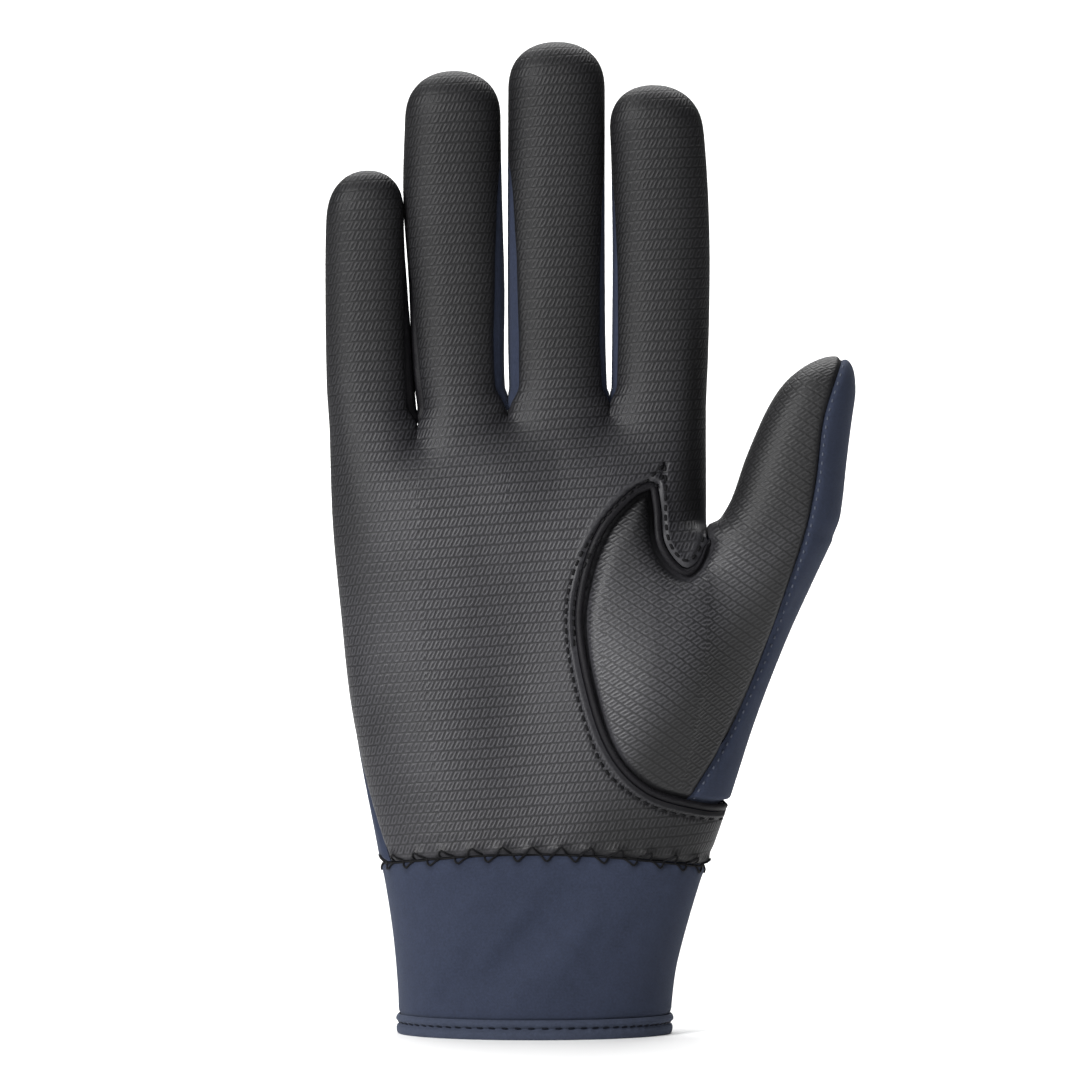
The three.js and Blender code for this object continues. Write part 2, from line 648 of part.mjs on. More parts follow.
// Edge of the thumb hole in the palm, from the bottom round the left side to the peak
const HOLE_EDGE = [
  { across: 1, up: 0 },
  { across: 0.816, up: 0.01 },
  { across: 0.471, up: 0.06 },
  { across: 0.235, up: 0.17 },
  { across: 0.088, up: 0.345 },
  { across: 0, up: 0.579 },
  { across: 0.058, up: 0.757 },
  { across: 0.17, up: 0.879 },
  { across: 0.354, up: 0.974 },
  { across: 0.465, up: 1 },
];

// From the peak down and round the tongue to the thumb crotch
const TONGUE_EDGE = [
  { across: 0.465, up: 1 },
  { across: 0.487, up: 0.93 },
  { across: 0.5, up: 0.84 },
  { across: 0.556, up: 0.783 },
  { across: 0.643, up: 0.738 },
  { across: 0.72, up: 0.726 },
  { across: 0.795, up: 0.751 },
  { across: 0.836, up: 0.79 },
  { across: 0.871, up: 0.837 },
];

// Line where the thumb's leather meets its fabric, shares of base width and thumb length
const THUMB_SEAM = [
  { across: 1.14, rise: 1.2 },
  { across: 1.065, rise: 0.975 },
  { across: 0.921, rise: 0.657 },
  { across: 0.863, rise: 0.331 },
  { across: 0.784, rise: 0.06 },
  { across: 0.661, rise: -0.213 },
  { across: 0.5, rise: -0.539 },
  { across: 0.301, rise: -0.866 },
  { across: 0.099, rise: -1.137 },
  { across: -0.12, rise: -1.37 },
  { across: -0.3, rise: -1.6 },
];

const TONGUE_END = TONGUE_EDGE[TONGUE_EDGE.length - 1];
const PARTING = PALM_RIGHT + SEAM_GAP * 1.8;
const holePoint = ({ across, up }) => [
  PARTING + HOLE_WIDTH * (across - TONGUE_END.across),
  THUMB_CROTCH_HEIGHT + HOLE_HEIGHT * (up - TONGUE_END.up),
];
const HOLE_LINE = [
  ...smoothLine(HOLE_EDGE.map(holePoint), 16),
  ...smoothLine(TONGUE_EDGE.map(holePoint), 9).slice(1),
];
const HOLE_BOTTOM = HOLE_LINE[0];
const CROTCH_POINT = [PARTING, THUMB_CROTCH_HEIGHT];
const BACK_LINE = new THREE.QuadraticBezierCurve(
  new THREE.Vector2(...HOLE_BOTTOM),
  new THREE.Vector2(PALM_RIGHT - HOLE_WIDTH * 0.8, mix(HOLE_BOTTOM[1], THUMB_CROTCH_HEIGHT, 0.55)),
  new THREE.Vector2(...CROTCH_POINT),
).getPoints(6).map((p) => [p.x, p.y]);

// The thumb's side of a line from the hole's bottom to the crotch and up beside the index finger
function thumbRegion(line, inset, from, to) {
  const start = line[0];
  const clear = PALM_RIGHT + FINGER_GAP * 3;
  const between = [
    [PARTING, THUMB_CROTCH_HEIGHT + 2 * WEB_RISE],
    [clear, THUMB_CROTCH_HEIGHT + THUMB_LENGTH / 2],
    [clear, BEYOND],
  ];
  const edge = beside([[start[0] + HOLE_WIDTH, start[1]], ...line, ...between], -inset);
  return throughDepth([...edge, [BEYOND, BEYOND], [BEYOND, edge[0][1]]], from, to);
}

const thumbWhole = (inset) => thumbRegion(HOLE_LINE, inset, -BEYOND, 0)
  .add(thumbRegion(BACK_LINE, inset, 0, BEYOND));

const THUMB_MIDDLE = -THUMB_FORWARD * 0.7;
const WRAP_RISES = [-0.4, 0, 0.2, 0.5, 0.8, 1, 1.2];   // shares of the thumb's length

// Leather side of the thumb's seam, with a wrap round the side that faces the index finger
function leatherSide(inset) {
  const seam = THUMB_SEAM.map(({ across, rise }) => [
    PALM_RIGHT + across * THUMB_BASE_WIDTH,
    THUMB_CROTCH_HEIGHT + rise * THUMB_LENGTH,
  ]);
  const front = beside(smoothLine(seam, 14), -inset);
  const middles = WRAP_RISES.map((rise) => {
    const z = THUMB_CROTCH_HEIGHT + rise * THUMB_LENGTH;
    return [thumbSection(Math.min(z, THUMB_CROTCH_HEIGHT + THUMB_LENGTH)).centre, z];
  });
  const wrap = beside(middles, inset);
  const wrapBack = THUMB_MIDDLE + BACK_SEAM - inset;
  return throughDepth([...front, [-BEYOND, front[front.length - 1][1]], [-BEYOND, front[0][1]]],
    -BEYOND, THUMB_MIDDLE)
    .add(throughDepth([...wrap, [-BEYOND, wrap[wrap.length - 1][1]], [-BEYOND, wrap[0][1]]],
      THUMB_MIDDLE, wrapBack));
}

// Band along the edge of the thumb hole, ending short of the crotch and the hole's bottom
function rollRegion(margin) {
  const line = HOLE_LINE.slice(1, -2);
  const near = beside(line, SEAM_GAP / 2 - margin);
  const far = beside(line, SEAM_GAP / 2 + ROLL_WIDTH + margin);
  return throughDepth([...near, ...far.reverse()], -BEYOND, 0);
}

// Side seams from far above the palm to far below it: rise is the share of the palm's height,
// forward the share of the way from the fingers' seams to the front of the little finger's side
const LITTLE_SIDE_SEAM = [
  { rise: 2, forward: 0 },
  { rise: 0.7, forward: 0 },
  { rise: 0.55, forward: 0.25 },
  { rise: 0.43, forward: 0.5 },
  { rise: 0.27, forward: 1 },
  { rise: -0.5, forward: 1 },
];
const THUMB_SIDE_SEAM = [
  { rise: 2, forward: 0 },
  { rise: 0.6, forward: 0 },
  { rise: 0.4, forward: 0.17 },
  { rise: -0.5, forward: 0.17 },
];

// Palm side of the hand's side seams
function palmSide(inset) {
  const outline = (seam) => {
    const edge = seam.map(({ rise, forward }) => [
      BACK_SEAM - forward * (BACK_SEAM + SIDE_SEAM_FRONT) - inset,
      rise * PALM_HEIGHT,
    ]);
    return [...edge, [-BEYOND, edge[edge.length - 1][1]], [-BEYOND, edge[0][1]]];
  };
  return throughWidth(outline(LITTLE_SIDE_SEAM), -BEYOND, 0)
    .add(throughWidth(outline(THUMB_SIDE_SEAM), 0, BEYOND));
}

// Width of a fourchette from its crotch to its upper end
const STRIP_SHAPE = [
  { rise: 0, wide: 1 },
  { rise: 0.3, wide: 1 },
  { rise: 0.6, wide: 0.86 },
  { rise: 0.85, wide: 0.6 },
  { rise: 1, wide: 0.3 },
];
const STRIP_REACH = WEB_HALF_DEPTH * 0.9;
const CURL_START = 4;

// Space of one fourchette: a band that narrows to a point near the finger tips
function stripRegion(i, margin) {
  const crotch = CROTCHES[i];
  const shorter = Math.min(...[i, i + 1].map((k) => FINGERS[k].crotch + FINGERS[k].length));
  const top = shorter - STRIP_TIP_MARGIN;
  const halfDepth = STRIP_HALF_DEPTH * (i === 1 ? 1 : STRIP_SHARE);
  const bottom = crotch.height - WEB_RISE / 2 - margin;
  const edge = (face) => STRIP_SHAPE.map(({ rise, wide }) => {
    const z = mix(bottom, top + margin, rise);
    const curl = -FINGER_CURL * ((z - crotch.height) / RING_LENGTH) ** 2;
    return [curl * clamp(rise * CURL_START) + face * (halfDepth * wide + margin), z];
  });
  return throughWidth([...edge(1), ...edge(-1).reverse()],
    crotch.across - STRIP_REACH, crotch.across + STRIP_REACH);
}

const CUFF_SEAM_STEPS = 12;
const CUFF_SEAM_SPREAD = WRIST_WIDTH * 0.62;   // the seam has its full sag this far out
const MOST_SAG_SHARE = 1.4;

// Everything above or below the cuff seam, whose line sags towards both sides
function besideCuffSeam(above, gap) {
  const line = Array.from({ length: CUFF_SEAM_STEPS + 1 }, (_, k) => {
    const share = mix(-2, 2, k / CUFF_SEAM_STEPS);
    const sag = CUFF_SEAM_SAG * Math.min(MOST_SAG_SHARE, share ** 2);
    return [share * CUFF_SEAM_SPREAD, CUFF_HEIGHT - sag + (above ? gap : -gap)];
  });
  const end = above ? BEYOND : HEM_HEIGHT + gap;
  return throughDepth([[line[0][0], end], ...line, [line[line.length - 1][0], end]], -BEYOND, BEYOND);
}

function slab(from, to) {
  const box = new THREE.BoxGeometry(BEYOND, BEYOND, to - from);
  box.translate(0, 0, (from + to) / 2);
  return toSolid(box);
}

const HALF_GAP = SEAM_GAP / 2;
const aboveCuff = besideCuffSeam(true, HALF_GAP);
const leather = makeWall(0, LEATHER_WALL);
const fabric = makeWall(0, FABRIC_WALL);

function makeHem() {
  return makeWall(HEM_PROUD, HEM_WALL).intersect(slab(0, HEM_HEIGHT - HALF_GAP));
}

function makeCuff() {
  return makeWall(-CUFF_INSET, FABRIC_WALL).intersect(besideCuffSeam(false, HALF_GAP));
}

function makeStrip(i) {
  return fabric.intersect(stripRegion(i, -HALF_GAP));
}

function withoutStrips(wall) {
  return [0, 1, 2].reduce((rest, i) => rest.subtract(stripRegion(i, HALF_GAP)), wall);
}

function makePalm() {
  return withoutStrips(leather.intersect(aboveCuff).intersect(palmSide(HALF_GAP)))
    .subtract(thumbWhole(-HALF_GAP))
    .subtract(rollRegion(SEAM_GAP));
}

function makeBack() {
  return withoutStrips(fabric.intersect(aboveCuff).subtract(palmSide(-HALF_GAP)))
    .subtract(thumbWhole(-HALF_GAP));
}

function makeRoll() {
  return makeWall(ROLL_PROUD, LEATHER_WALL + ROLL_PROUD).intersect(rollRegion(0))
    .subtract(thumbWhole(-HALF_GAP));
}

function makeThumbFront() {
  return leather.intersect(thumbWhole(HALF_GAP)).intersect(leatherSide(HALF_GAP));
}

function makeThumbBack() {
  return fabric.intersect(thumbWhole(HALF_GAP)).subtract(leatherSide(-HALF_GAP));
}

// Finishes
const blackLeather = { color: 0x3d3c3f, roughness: 0.62, metalness: 0 };
const darkEdge = { color: 0x232225, roughness: 0.6, metalness: 0 };
const navyFabric = { color: 0x3a4154, roughness: 0.9, metalness: 0 };
const navyHem = { color: 0x444b60, roughness: 0.9, metalness: 0 };

const glove = new THREE.Group();

function addPiece(name, solid, finish) {
  const { vertProperties, triVerts } = solid.getMesh();
  const geometry = new THREE.BufferGeometry();
  geometry.setAttribute('position', new THREE.BufferAttribute(new Float32Array(vertProperties), 3));
  geometry.setIndex(new THREE.BufferAttribute(new Uint32Array(triVerts), 1));
  geometry.computeVertexNormals();
  const mesh = new THREE.Mesh(geometry, new THREE.MeshStandardMaterial(finish));
  mesh.name = name;
  glove.add(mesh);
}

addPiece('palm_panel', makePalm(), blackLeather);
addPiece('back_panel', makeBack(), navyFabric);
[blackLeather, navyFabric, navyFabric].forEach((finish, i) => {
  addPiece(`fourchette_${FINGERS[i].name}_${FINGERS[i + 1].name}`, makeStrip(i), finish);
});
addPiece('thumb_front', makeThumbFront(), blackLeather);
addPiece('thumb_back', makeThumbBack(), navyFabric);
addPiece('thumb_seam_roll', makeRoll(), darkEdge);
addPiece('cuff', makeCuff(), navyFabric);
addPiece('cuff_hem', makeHem(), navyHem);

export default glove;
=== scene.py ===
"""Horse riding glove, right hand: grip leather and stretch fabric panels, sewn together."""

import math
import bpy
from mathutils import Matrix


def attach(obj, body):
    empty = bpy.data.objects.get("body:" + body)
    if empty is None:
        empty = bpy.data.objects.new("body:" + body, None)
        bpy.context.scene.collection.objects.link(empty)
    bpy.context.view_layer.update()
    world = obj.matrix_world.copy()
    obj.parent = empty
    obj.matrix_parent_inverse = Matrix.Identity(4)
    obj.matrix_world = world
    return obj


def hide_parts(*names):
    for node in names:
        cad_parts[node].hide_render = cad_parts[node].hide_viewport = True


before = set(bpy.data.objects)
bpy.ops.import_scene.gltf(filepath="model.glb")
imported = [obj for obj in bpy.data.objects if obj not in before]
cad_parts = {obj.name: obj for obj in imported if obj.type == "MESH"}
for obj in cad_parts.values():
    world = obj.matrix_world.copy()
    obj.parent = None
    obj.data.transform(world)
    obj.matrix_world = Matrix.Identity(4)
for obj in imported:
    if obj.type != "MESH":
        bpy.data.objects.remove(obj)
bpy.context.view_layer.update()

from types import SimpleNamespace

import bmesh
import bpy
import numpy as np
from mathutils import Vector
from mathutils.bvhtree import BVHTree

MM = 0.001

# Camera

CAMERA_DISTANCE = 1300
CAMERA_ACROSS = 1.3
CAMERA_HEIGHT = 115.7
FRAME_WIDTH = 253.8             # millimetres of the view at the glove's middle
SENSOR_WIDTH = 36


def add_camera():
    bpy.ops.object.camera_add(
        location=(CAMERA_ACROSS * MM, -CAMERA_DISTANCE * MM, CAMERA_HEIGHT * MM),
        rotation=(math.radians(90), 0, 0),
    )
    camera = bpy.context.object
    camera.data.sensor_width = SENSOR_WIDTH
    camera.data.lens = SENSOR_WIDTH * CAMERA_DISTANCE / FRAME_WIDTH
    camera.data.clip_end = 20
    bpy.context.scene.camera = camera


# Sizes of the hand, in millimetres

PALM_HEIGHT = 146.8
PALM_WIDTH = 88.9
PALM_DEPTH = 28
PALM_OFFSET = -4.05
WRIST_WIDTH = 64.4
WRIST_DEPTH = 42
CUFF_HEIGHT = 42.9
CUFF_SEAM_SAG = 3.3
HEM_HEIGHT = 4.7
LITTLE_LENGTH = 60.6
RING_LENGTH = 78.7
MIDDLE_LENGTH = 85.5
INDEX_LENGTH = 75.4
LITTLE_DEPTH = 16.5
FINGER_DEPTH = 19
FINGER_GAP = 0.8
FINGER_CURL = 5
LITTLE_CROTCH_DROP = 5.2
TIP_DOME = 11.7
WEB_RISE = 2.4
WEB_REACH_SHARE = 2.2
WEB_HALF_DEPTH = 6.4
THUMB_CROTCH_HEIGHT = 115.5
THUMB_LENGTH = 43.2
THUMB_BASE_WIDTH = 29.3
THUMB_DEPTH = 23
THUMB_FORWARD = 7
THUMB_WEB_HALF_DEPTH = 8.5
THENAR_BULGE = 5.5
PALM_HOLLOW = 1.6
HOLE_WIDTH = 34.2
HOLE_HEIGHT = 73.6
CUFF_INSET = 0.3
FOLD_DEPTH = 0.9
STRIP_HALF_DEPTH = 6.3
STRIP_SHARE = 0.72
STRIP_TIP_MARGIN = 20
BACK_SEAM = 4
SIDE_SEAM_FRONT = 8
CORNER_SHARE = 0.6
SECTION_POWER = 2.4
DOME_POWER = 2.6
DOME_ROUND_POWER = 2.1
SEAM_GAP = 0.16
LEATHER_WALL = 1.2
FABRIC_WALL = 1.1
HEM_WALL = 1.6

PALM_LEFT = PALM_OFFSET - PALM_WIDTH / 2
PALM_RIGHT = PALM_OFFSET + PALM_WIDTH / 2
LITTLE_CROTCH_HEIGHT = PALM_HEIGHT - LITTLE_CROTCH_DROP


def table(columns, rows):
    return {name: np.array([row[k] for row in rows], float) for k, name in enumerate(columns.split())}


LEFT_EDGE = table("rise out", [
    (0, 0), (0.07, 0.01), (0.18, 0.1), (0.31, 0.29), (0.44, 0.51),
    (0.56, 0.69), (0.69, 0.81), (0.85, 0.94), (1, 1),
])
RIGHT_EDGE = table("rise out", [
    (0, 0), (0.07, 0.013), (0.15, 0.05), (0.31, 0.19), (0.47, 0.36),
    (0.64, 0.53), (0.8, 0.72), (0.92, 0.885), (1, 1),
])
BODY_SECTIONS = table("rise front back wrist power", [
    (0, 0.5, 0.5, 1, 2.05), (0.2, 0.56, 0.52, 0.55, 2.2), (0.38, 0.6, 0.51, 0.15, 2.4),
    (0.6, 0.59, 0.5, 0, 2.5), (0.8, 0.55, 0.49, 0, 2.6), (1, 0.51, 0.47, 0, 2.6),
])
PALM_SECTIONS = table("rise front back", [(0, 0.55, 0.5), (0.78, 0.51, 0.47), (1, 0.41, 0.39)])
THUMB_SHAPE = table("rise left right deep ahead", [
    (-1.3, 0, 1, 1.25, 0.1), (-0.4, 0, 1, 1.2, 0.4), (0, 0, 1, 1.12, 0.6),
    (0.11, 0.105, 1.055, 1.09, 0.66), (0.22, 0.195, 1.082, 1.05, 0.72),
    (0.44, 0.305, 1.115, 1, 0.82), (0.66, 0.44, 1.155, 0.96, 0.92),
    (0.77, 0.525, 1.18, 0.92, 0.96), (0.88, 0.62, 1.21, 0.87, 0.99), (1, 0.75, 1.275, 0.8, 1),
])


def finger(pitch, length, depth, crotch, shape):
    return SimpleNamespace(pitch=pitch, length=length, depth=depth, crotch=crotch,
                           shape=table("rise lean wide deep", shape))


FINGERS = [
    finger(0.237, LITTLE_LENGTH, LITTLE_DEPTH, LITTLE_CROTCH_HEIGHT, [
        (0, 0, 1, 1.13), (0.17, -0.036, 0.995, 1.08), (0.55, -0.073, 0.948, 1),
        (0.8, -0.083, 0.905, 0.96), (1, -0.045, 0.89, 0.93),
    ]),
    finger(0.238, RING_LENGTH, FINGER_DEPTH, PALM_HEIGHT, [
        (0, 0, 1, 1.1), (0.13, -0.04, 1.04, 1.05), (0.355, -0.063, 1.095, 1),
        (0.62, -0.11, 1.137, 1), (0.854, -0.108, 1.1, 0.97), (1, -0.09, 1.08, 0.95),
    ]),
    finger(0.269, MIDDLE_LENGTH, FINGER_DEPTH, PALM_HEIGHT, [
        (0, 0, 1, 1.1), (0.19, -0.019, 0.993, 1.04), (0.5, -0.024, 0.988, 1),
        (0.8, -0.022, 0.984, 0.98), (1, -0.02, 0.978, 0.95),
    ]),
    finger(0.256, INDEX_LENGTH, FINGER_DEPTH, PALM_HEIGHT, [
        (0, 0.006, 1.015, 1.1), (0.215, 0.024, 1.035, 1.04), (0.46, 0.032, 1.04, 1),
        (0.65, 0.02, 1.03, 1), (0.8, -0.002, 1.01, 0.97), (1, -0.053, 0.985, 0.95),
    ]),
]
SWELLINGS = [   # across, up, wide, tall, out
    (0.83, 0.6, 0.19, 0.2, THENAR_BULGE),
    (0.3, 0.45, 0.2, 0.2, THENAR_BULGE * 0.25),
    (0.5, 0.56, 0.13, 0.2, -PALM_HOLLOW),
    (0.5, 0.86, 0.6, 0.08, THENAR_BULGE * 0.12),
]
FOLDS = [       # across, up, lean, long, wide, deep, side
    (0.02, 0.62, 1.1, 0.4, 0.09, 1, -1),
    (-0.2, 0.34, 0.7, 0.3, 0.08, 0.8, -1),
    (0.3, 0.5, 1.6, 0.3, 0.08, 0.7, -1),
    (0.1, 0.55, -0.9, 0.4, 0.09, 0.9, 1),
    (-0.22, 0.6, -1.3, 0.3, 0.08, 0.7, 1),
]
WRIST_LINES = [-0.26, -0.06, 0.14, 0.31]
THUMB = len(FINGERS)


def crotch_after(i):
    is_thumb = i == THUMB - 1
    pitches = sum(f.pitch for f in FINGERS[:i + 1])
    return SimpleNamespace(
        wrist=WRIST_LINES[i] * WRIST_WIDTH,
        across=PALM_RIGHT if is_thumb else PALM_LEFT + pitches * PALM_WIDTH,
        height=THUMB_CROTCH_HEIGHT if is_thumb else FINGERS[i].crotch,
        half_depth=THUMB_WEB_HALF_DEPTH if is_thumb else WEB_HALF_DEPTH,
        ahead=THUMB_FORWARD * 0.35 if is_thumb else 0,
    )


CROTCHES = [crotch_after(i) for i in range(THUMB)]
THUMB_LINE = CROTCHES[-1]


# Form of the hand

def mix(a, b, t):
    return a + (b - a) * t


def smooth(value):
    value = np.clip(value, 0, 1)
    return value * value * (3 - 2 * value)


def ramp(value, start, length):
    """Zero up to a start, one from a length past it, and smooth between them."""
    return smooth((value - start) / length)


def bell(value, width):
    return np.exp(-((value / width) ** 2))


def summed(steps):
    """Running sum that starts at zero."""
    return np.concatenate(([0], np.cumsum(steps)))


def along(rows, place, column):
    """Value of a table's column at a place along its first column, on a smooth curve."""
    key = next(iter(rows.values()))
    value = rows[column]
    slope = np.gradient(value, key)
    slope[1:-1] = (value[2:] - value[:-2]) / (key[2:] - key[:-2])
    place = np.clip(place, key[0], key[-1])
    i = np.clip(np.searchsorted(key, place, side="right") - 1, 0, len(key) - 2)
    step = key[i + 1] - key[i]
    t = (place - key[i]) / step
    return (value[i] * (1 + 2 * t) * (1 - t) ** 2 + slope[i] * step * t * (1 - t) ** 2
            + value[i + 1] * t * t * (3 - 2 * t) + slope[i + 1] * step * t * t * (t - 1))


def line_at(crotch, z):
    return mix(crotch.wrist, crotch.across, smooth(0.5 + z / crotch.height / 2) * 2 - 1)


def left_edge(z):
    return mix(-WRIST_WIDTH / 2, PALM_LEFT, along(LEFT_EDGE, z / LITTLE_CROTCH_HEIGHT, "out"))


def right_edge(z):
    out = along(RIGHT_EDGE, z / THUMB_CROTCH_HEIGHT, "out")
    return mix(WRIST_WIDTH / 2, PALM_RIGHT + THUMB_BASE_WIDTH, out)


class Section:
    """A rounded outline of the hand or a finger at one height, or at an array of heights."""

    def __init__(self, left, right, front, back, power, middle):
        self.centre = (left + right) / 2
        self.half = (right - left) / 2
        self.front = front
        self.back = back
        self.power = power
        self.middle = middle

    def side(self, side, turn):
        angle = turn * np.arcsin(CORNER_SHARE ** (self.power / 2))
        depth = np.where(np.asarray(turn) < 0, self.front, self.back)
        x = self.centre + side * self.half * np.cos(angle) ** (2 / self.power)
        y = self.middle + depth * np.sign(turn) * np.abs(np.sin(angle)) ** (2 / self.power)
        return x, y

    def face(self, face, x):
        share = np.minimum(1, np.abs(x - self.centre) / np.maximum(self.half, 1e-9))
        depth = self.front if face < 0 else self.back
        return self.middle + face * depth * (1 - share ** self.power) ** (1 / self.power)


def whole_section(z):
    rise = z / THUMB_CROTCH_HEIGHT
    depth = mix(PALM_DEPTH, WRIST_DEPTH, along(BODY_SECTIONS, rise, "wrist"))
    return Section(left_edge(z), right_edge(z), along(BODY_SECTIONS, rise, "front") * depth,
                   along(BODY_SECTIONS, rise, "back") * depth, along(BODY_SECTIONS, rise, "power"), 0)


def palm_section(z):
    rise = (z - THUMB_CROTCH_HEIGHT) / (PALM_HEIGHT - THUMB_CROTCH_HEIGHT)
    right = np.where(z < THUMB_CROTCH_HEIGHT, line_at(THUMB_LINE, z), PALM_RIGHT)
    return Section(left_edge(z), right, along(PALM_SECTIONS, rise, "front") * PALM_DEPTH,
                   along(PALM_SECTIONS, rise, "back") * PALM_DEPTH, 2.6, 0)


def dome(below):
    return (1 - (1 - np.clip(below / TIP_DOME, 0, 1)) ** DOME_POWER) ** (1 / DOME_ROUND_POWER)


def thumb_section(z):
    rise = (z - THUMB_CROTCH_HEIGHT) / THUMB_LENGTH
    below = z < THUMB_CROTCH_HEIGHT
    left = np.where(below, line_at(THUMB_LINE, z),
                    PALM_RIGHT + along(THUMB_SHAPE, rise, "left") * THUMB_BASE_WIDTH)
    right = np.where(below, right_edge(z),
                     PALM_RIGHT + along(THUMB_SHAPE, rise, "right") * THUMB_BASE_WIDTH)
    round_share = dome(THUMB_CROTCH_HEIGHT + THUMB_LENGTH - z)
    middle = (left + right) / 2
    half = (right - left) / 2 * round_share
    depth = along(THUMB_SHAPE, rise, "deep") * THUMB_DEPTH / 2 * round_share
    return Section(middle - half, middle + half, depth, depth, SECTION_POWER,
                   -THUMB_FORWARD * along(THUMB_SHAPE, rise, "ahead"))


def finger_section(i, z):
    f = FINGERS[i]
    rise = (z - f.crotch) / f.length
    left = left_edge(z) if i == 0 else line_at(CROTCHES[i - 1], z)
    right = line_at(CROTCHES[i], z)
    if i == THUMB - 1:
        right = np.where(z > THUMB_CROTCH_HEIGHT, PALM_RIGHT, right)
    round_share = dome(f.crotch + f.length - z)
    middle = (left + right) / 2 + along(f.shape, rise, "lean") * f.pitch * PALM_WIDTH
    half = ((right - left) * along(f.shape, rise, "wide") - FINGER_GAP) / 2 * round_share
    depth = along(f.shape, rise, "deep") * f.depth / 2 * round_share
    return Section(middle - half, middle + half, depth, depth, SECTION_POWER,
                   -FINGER_CURL * np.maximum(0, rise) ** 2)


def web_hold(crotch, z):
    return 1 - smooth((z - crotch.height) / (WEB_REACH_SHARE * WEB_RISE))


THUMB_BLEND = THUMB_CROTCH_HEIGHT * 0.39
FINGER_BLEND = PALM_HEIGHT * 0.286
LINE_BLEND = PALM_WIDTH * 0.169


def line_weight(crotch, z):
    return smooth((z - crotch.height) / LINE_BLEND + 1)


def thumb_weight(x, z):
    middle = smooth((z - THUMB_CROTCH_HEIGHT) / THUMB_BLEND + 1)
    near = np.maximum(0, 1 - np.abs(x - line_at(THUMB_LINE, z)) / LINE_BLEND) ** 2
    return mix(middle, line_weight(THUMB_LINE, z), near)


def finger_weight(i, share, z):
    middle = smooth((z - PALM_HEIGHT - LINE_BLEND / 3) / FINGER_BLEND + 1)
    left = middle if i == 0 else line_weight(CROTCHES[i - 1], z)
    right = line_weight(CROTCHES[i], z)
    if i == THUMB - 1:
        right = smooth((z - THUMB_CROTCH_HEIGHT) / (PALM_HEIGHT - THUMB_CROTCH_HEIGHT))
    edge = np.where(share < 0.5, left, right)
    return mix(middle, edge, (1 - 2 * np.minimum(share, 1 - share)) ** 2)


def held_face(section, face, share, z, start=None, end=None, left_web=None, right_web=None):
    left_corner = section.side(-1, face)
    right_corner = section.side(1, face)
    x = mix(left_corner[0] if start is None else start,
            right_corner[0] if end is None else end, share)
    y = section.face(face, x)
    pulls = ((left_web, left_corner, 1 - share), (right_web, right_corner, share))
    for web, corner, nearness in pulls:
        if web is not None:
            hold = web_hold(web, z) * nearness ** 4
            x = x + (line_at(web, z) - corner[0]) * hold
            y = y + (-web.ahead + face * web.half_depth - corner[1]) * hold
    return x, y


def mix_points(a, b, t):
    return mix(a[0], b[0], t), mix(a[1], b[1], t)


def column_face(i, face, share, z):
    start = line_at(CROTCHES[i - 1], z) if i > 0 else None
    end = line_at(CROTCHES[i], z) if i < THUMB else None
    whole = held_face(whole_section(z), face, share, z, start, end)
    if i == THUMB:
        held = held_face(thumb_section(z), face, share, z, left_web=THUMB_LINE)
        return mix_points(whole, held, thumb_weight(whole[0], z))
    is_last = i == THUMB - 1
    palm = held_face(palm_section(np.minimum(z, PALM_HEIGHT)), face, share, z, start,
                     None if is_last else end, right_web=THUMB_LINE if is_last else None)
    palm = mix_points(whole, palm, thumb_weight(whole[0], z))
    member = held_face(finger_section(i, z), face, share, z,
                       left_web=CROTCHES[i - 1] if i > 0 else None, right_web=CROTCHES[i])
    return mix_points(palm, member, finger_weight(i, share, z))


def crotch_beside(i, side):
    k = i - 1 if side < 0 else i
    return CROTCHES[k] if 0 <= k < THUMB else None


def column_side(i, side, turn, z):
    crotch = crotch_beside(i, side)
    member = thumb_section(z) if i == THUMB else finger_section(i, z)
    point = member.side(side, turn)
    if i == THUMB or (i == 0 and side < 0):
        if i == 0:
            palm = palm_section(np.minimum(z, PALM_HEIGHT)).side(side, turn)
        else:
            palm = point
        whole = whole_section(z).side(side, turn)
        palm = mix_points(whole, palm, thumb_weight(whole[0], z))
        point = palm if i == THUMB else mix_points(palm, point, finger_weight(i, 0.0, z))
    elif i == THUMB - 1 and side > 0:
        palm = palm_section(np.minimum(z, PALM_HEIGHT)).side(side, turn)
        point = mix_points(palm, point, finger_weight(i, 1.0, z))
    height = z + 0 * turn
    if crotch is not None:
        reach = CORNER_SHARE * np.where(turn < 0, member.front, member.back)
        own = member.side(side, turn)[1] - member.middle
        share = np.where(reach > TINY, own / np.maximum(reach, TINY), turn)
        hold = web_hold(crotch, z)
        point = (mix(point[0], line_at(crotch, z), hold),
                 mix(point[1], -crotch.ahead + share * crotch.half_depth, hold))
        height = height + WEB_RISE * (1 - share * share) * hold
    return point[0], point[1], height


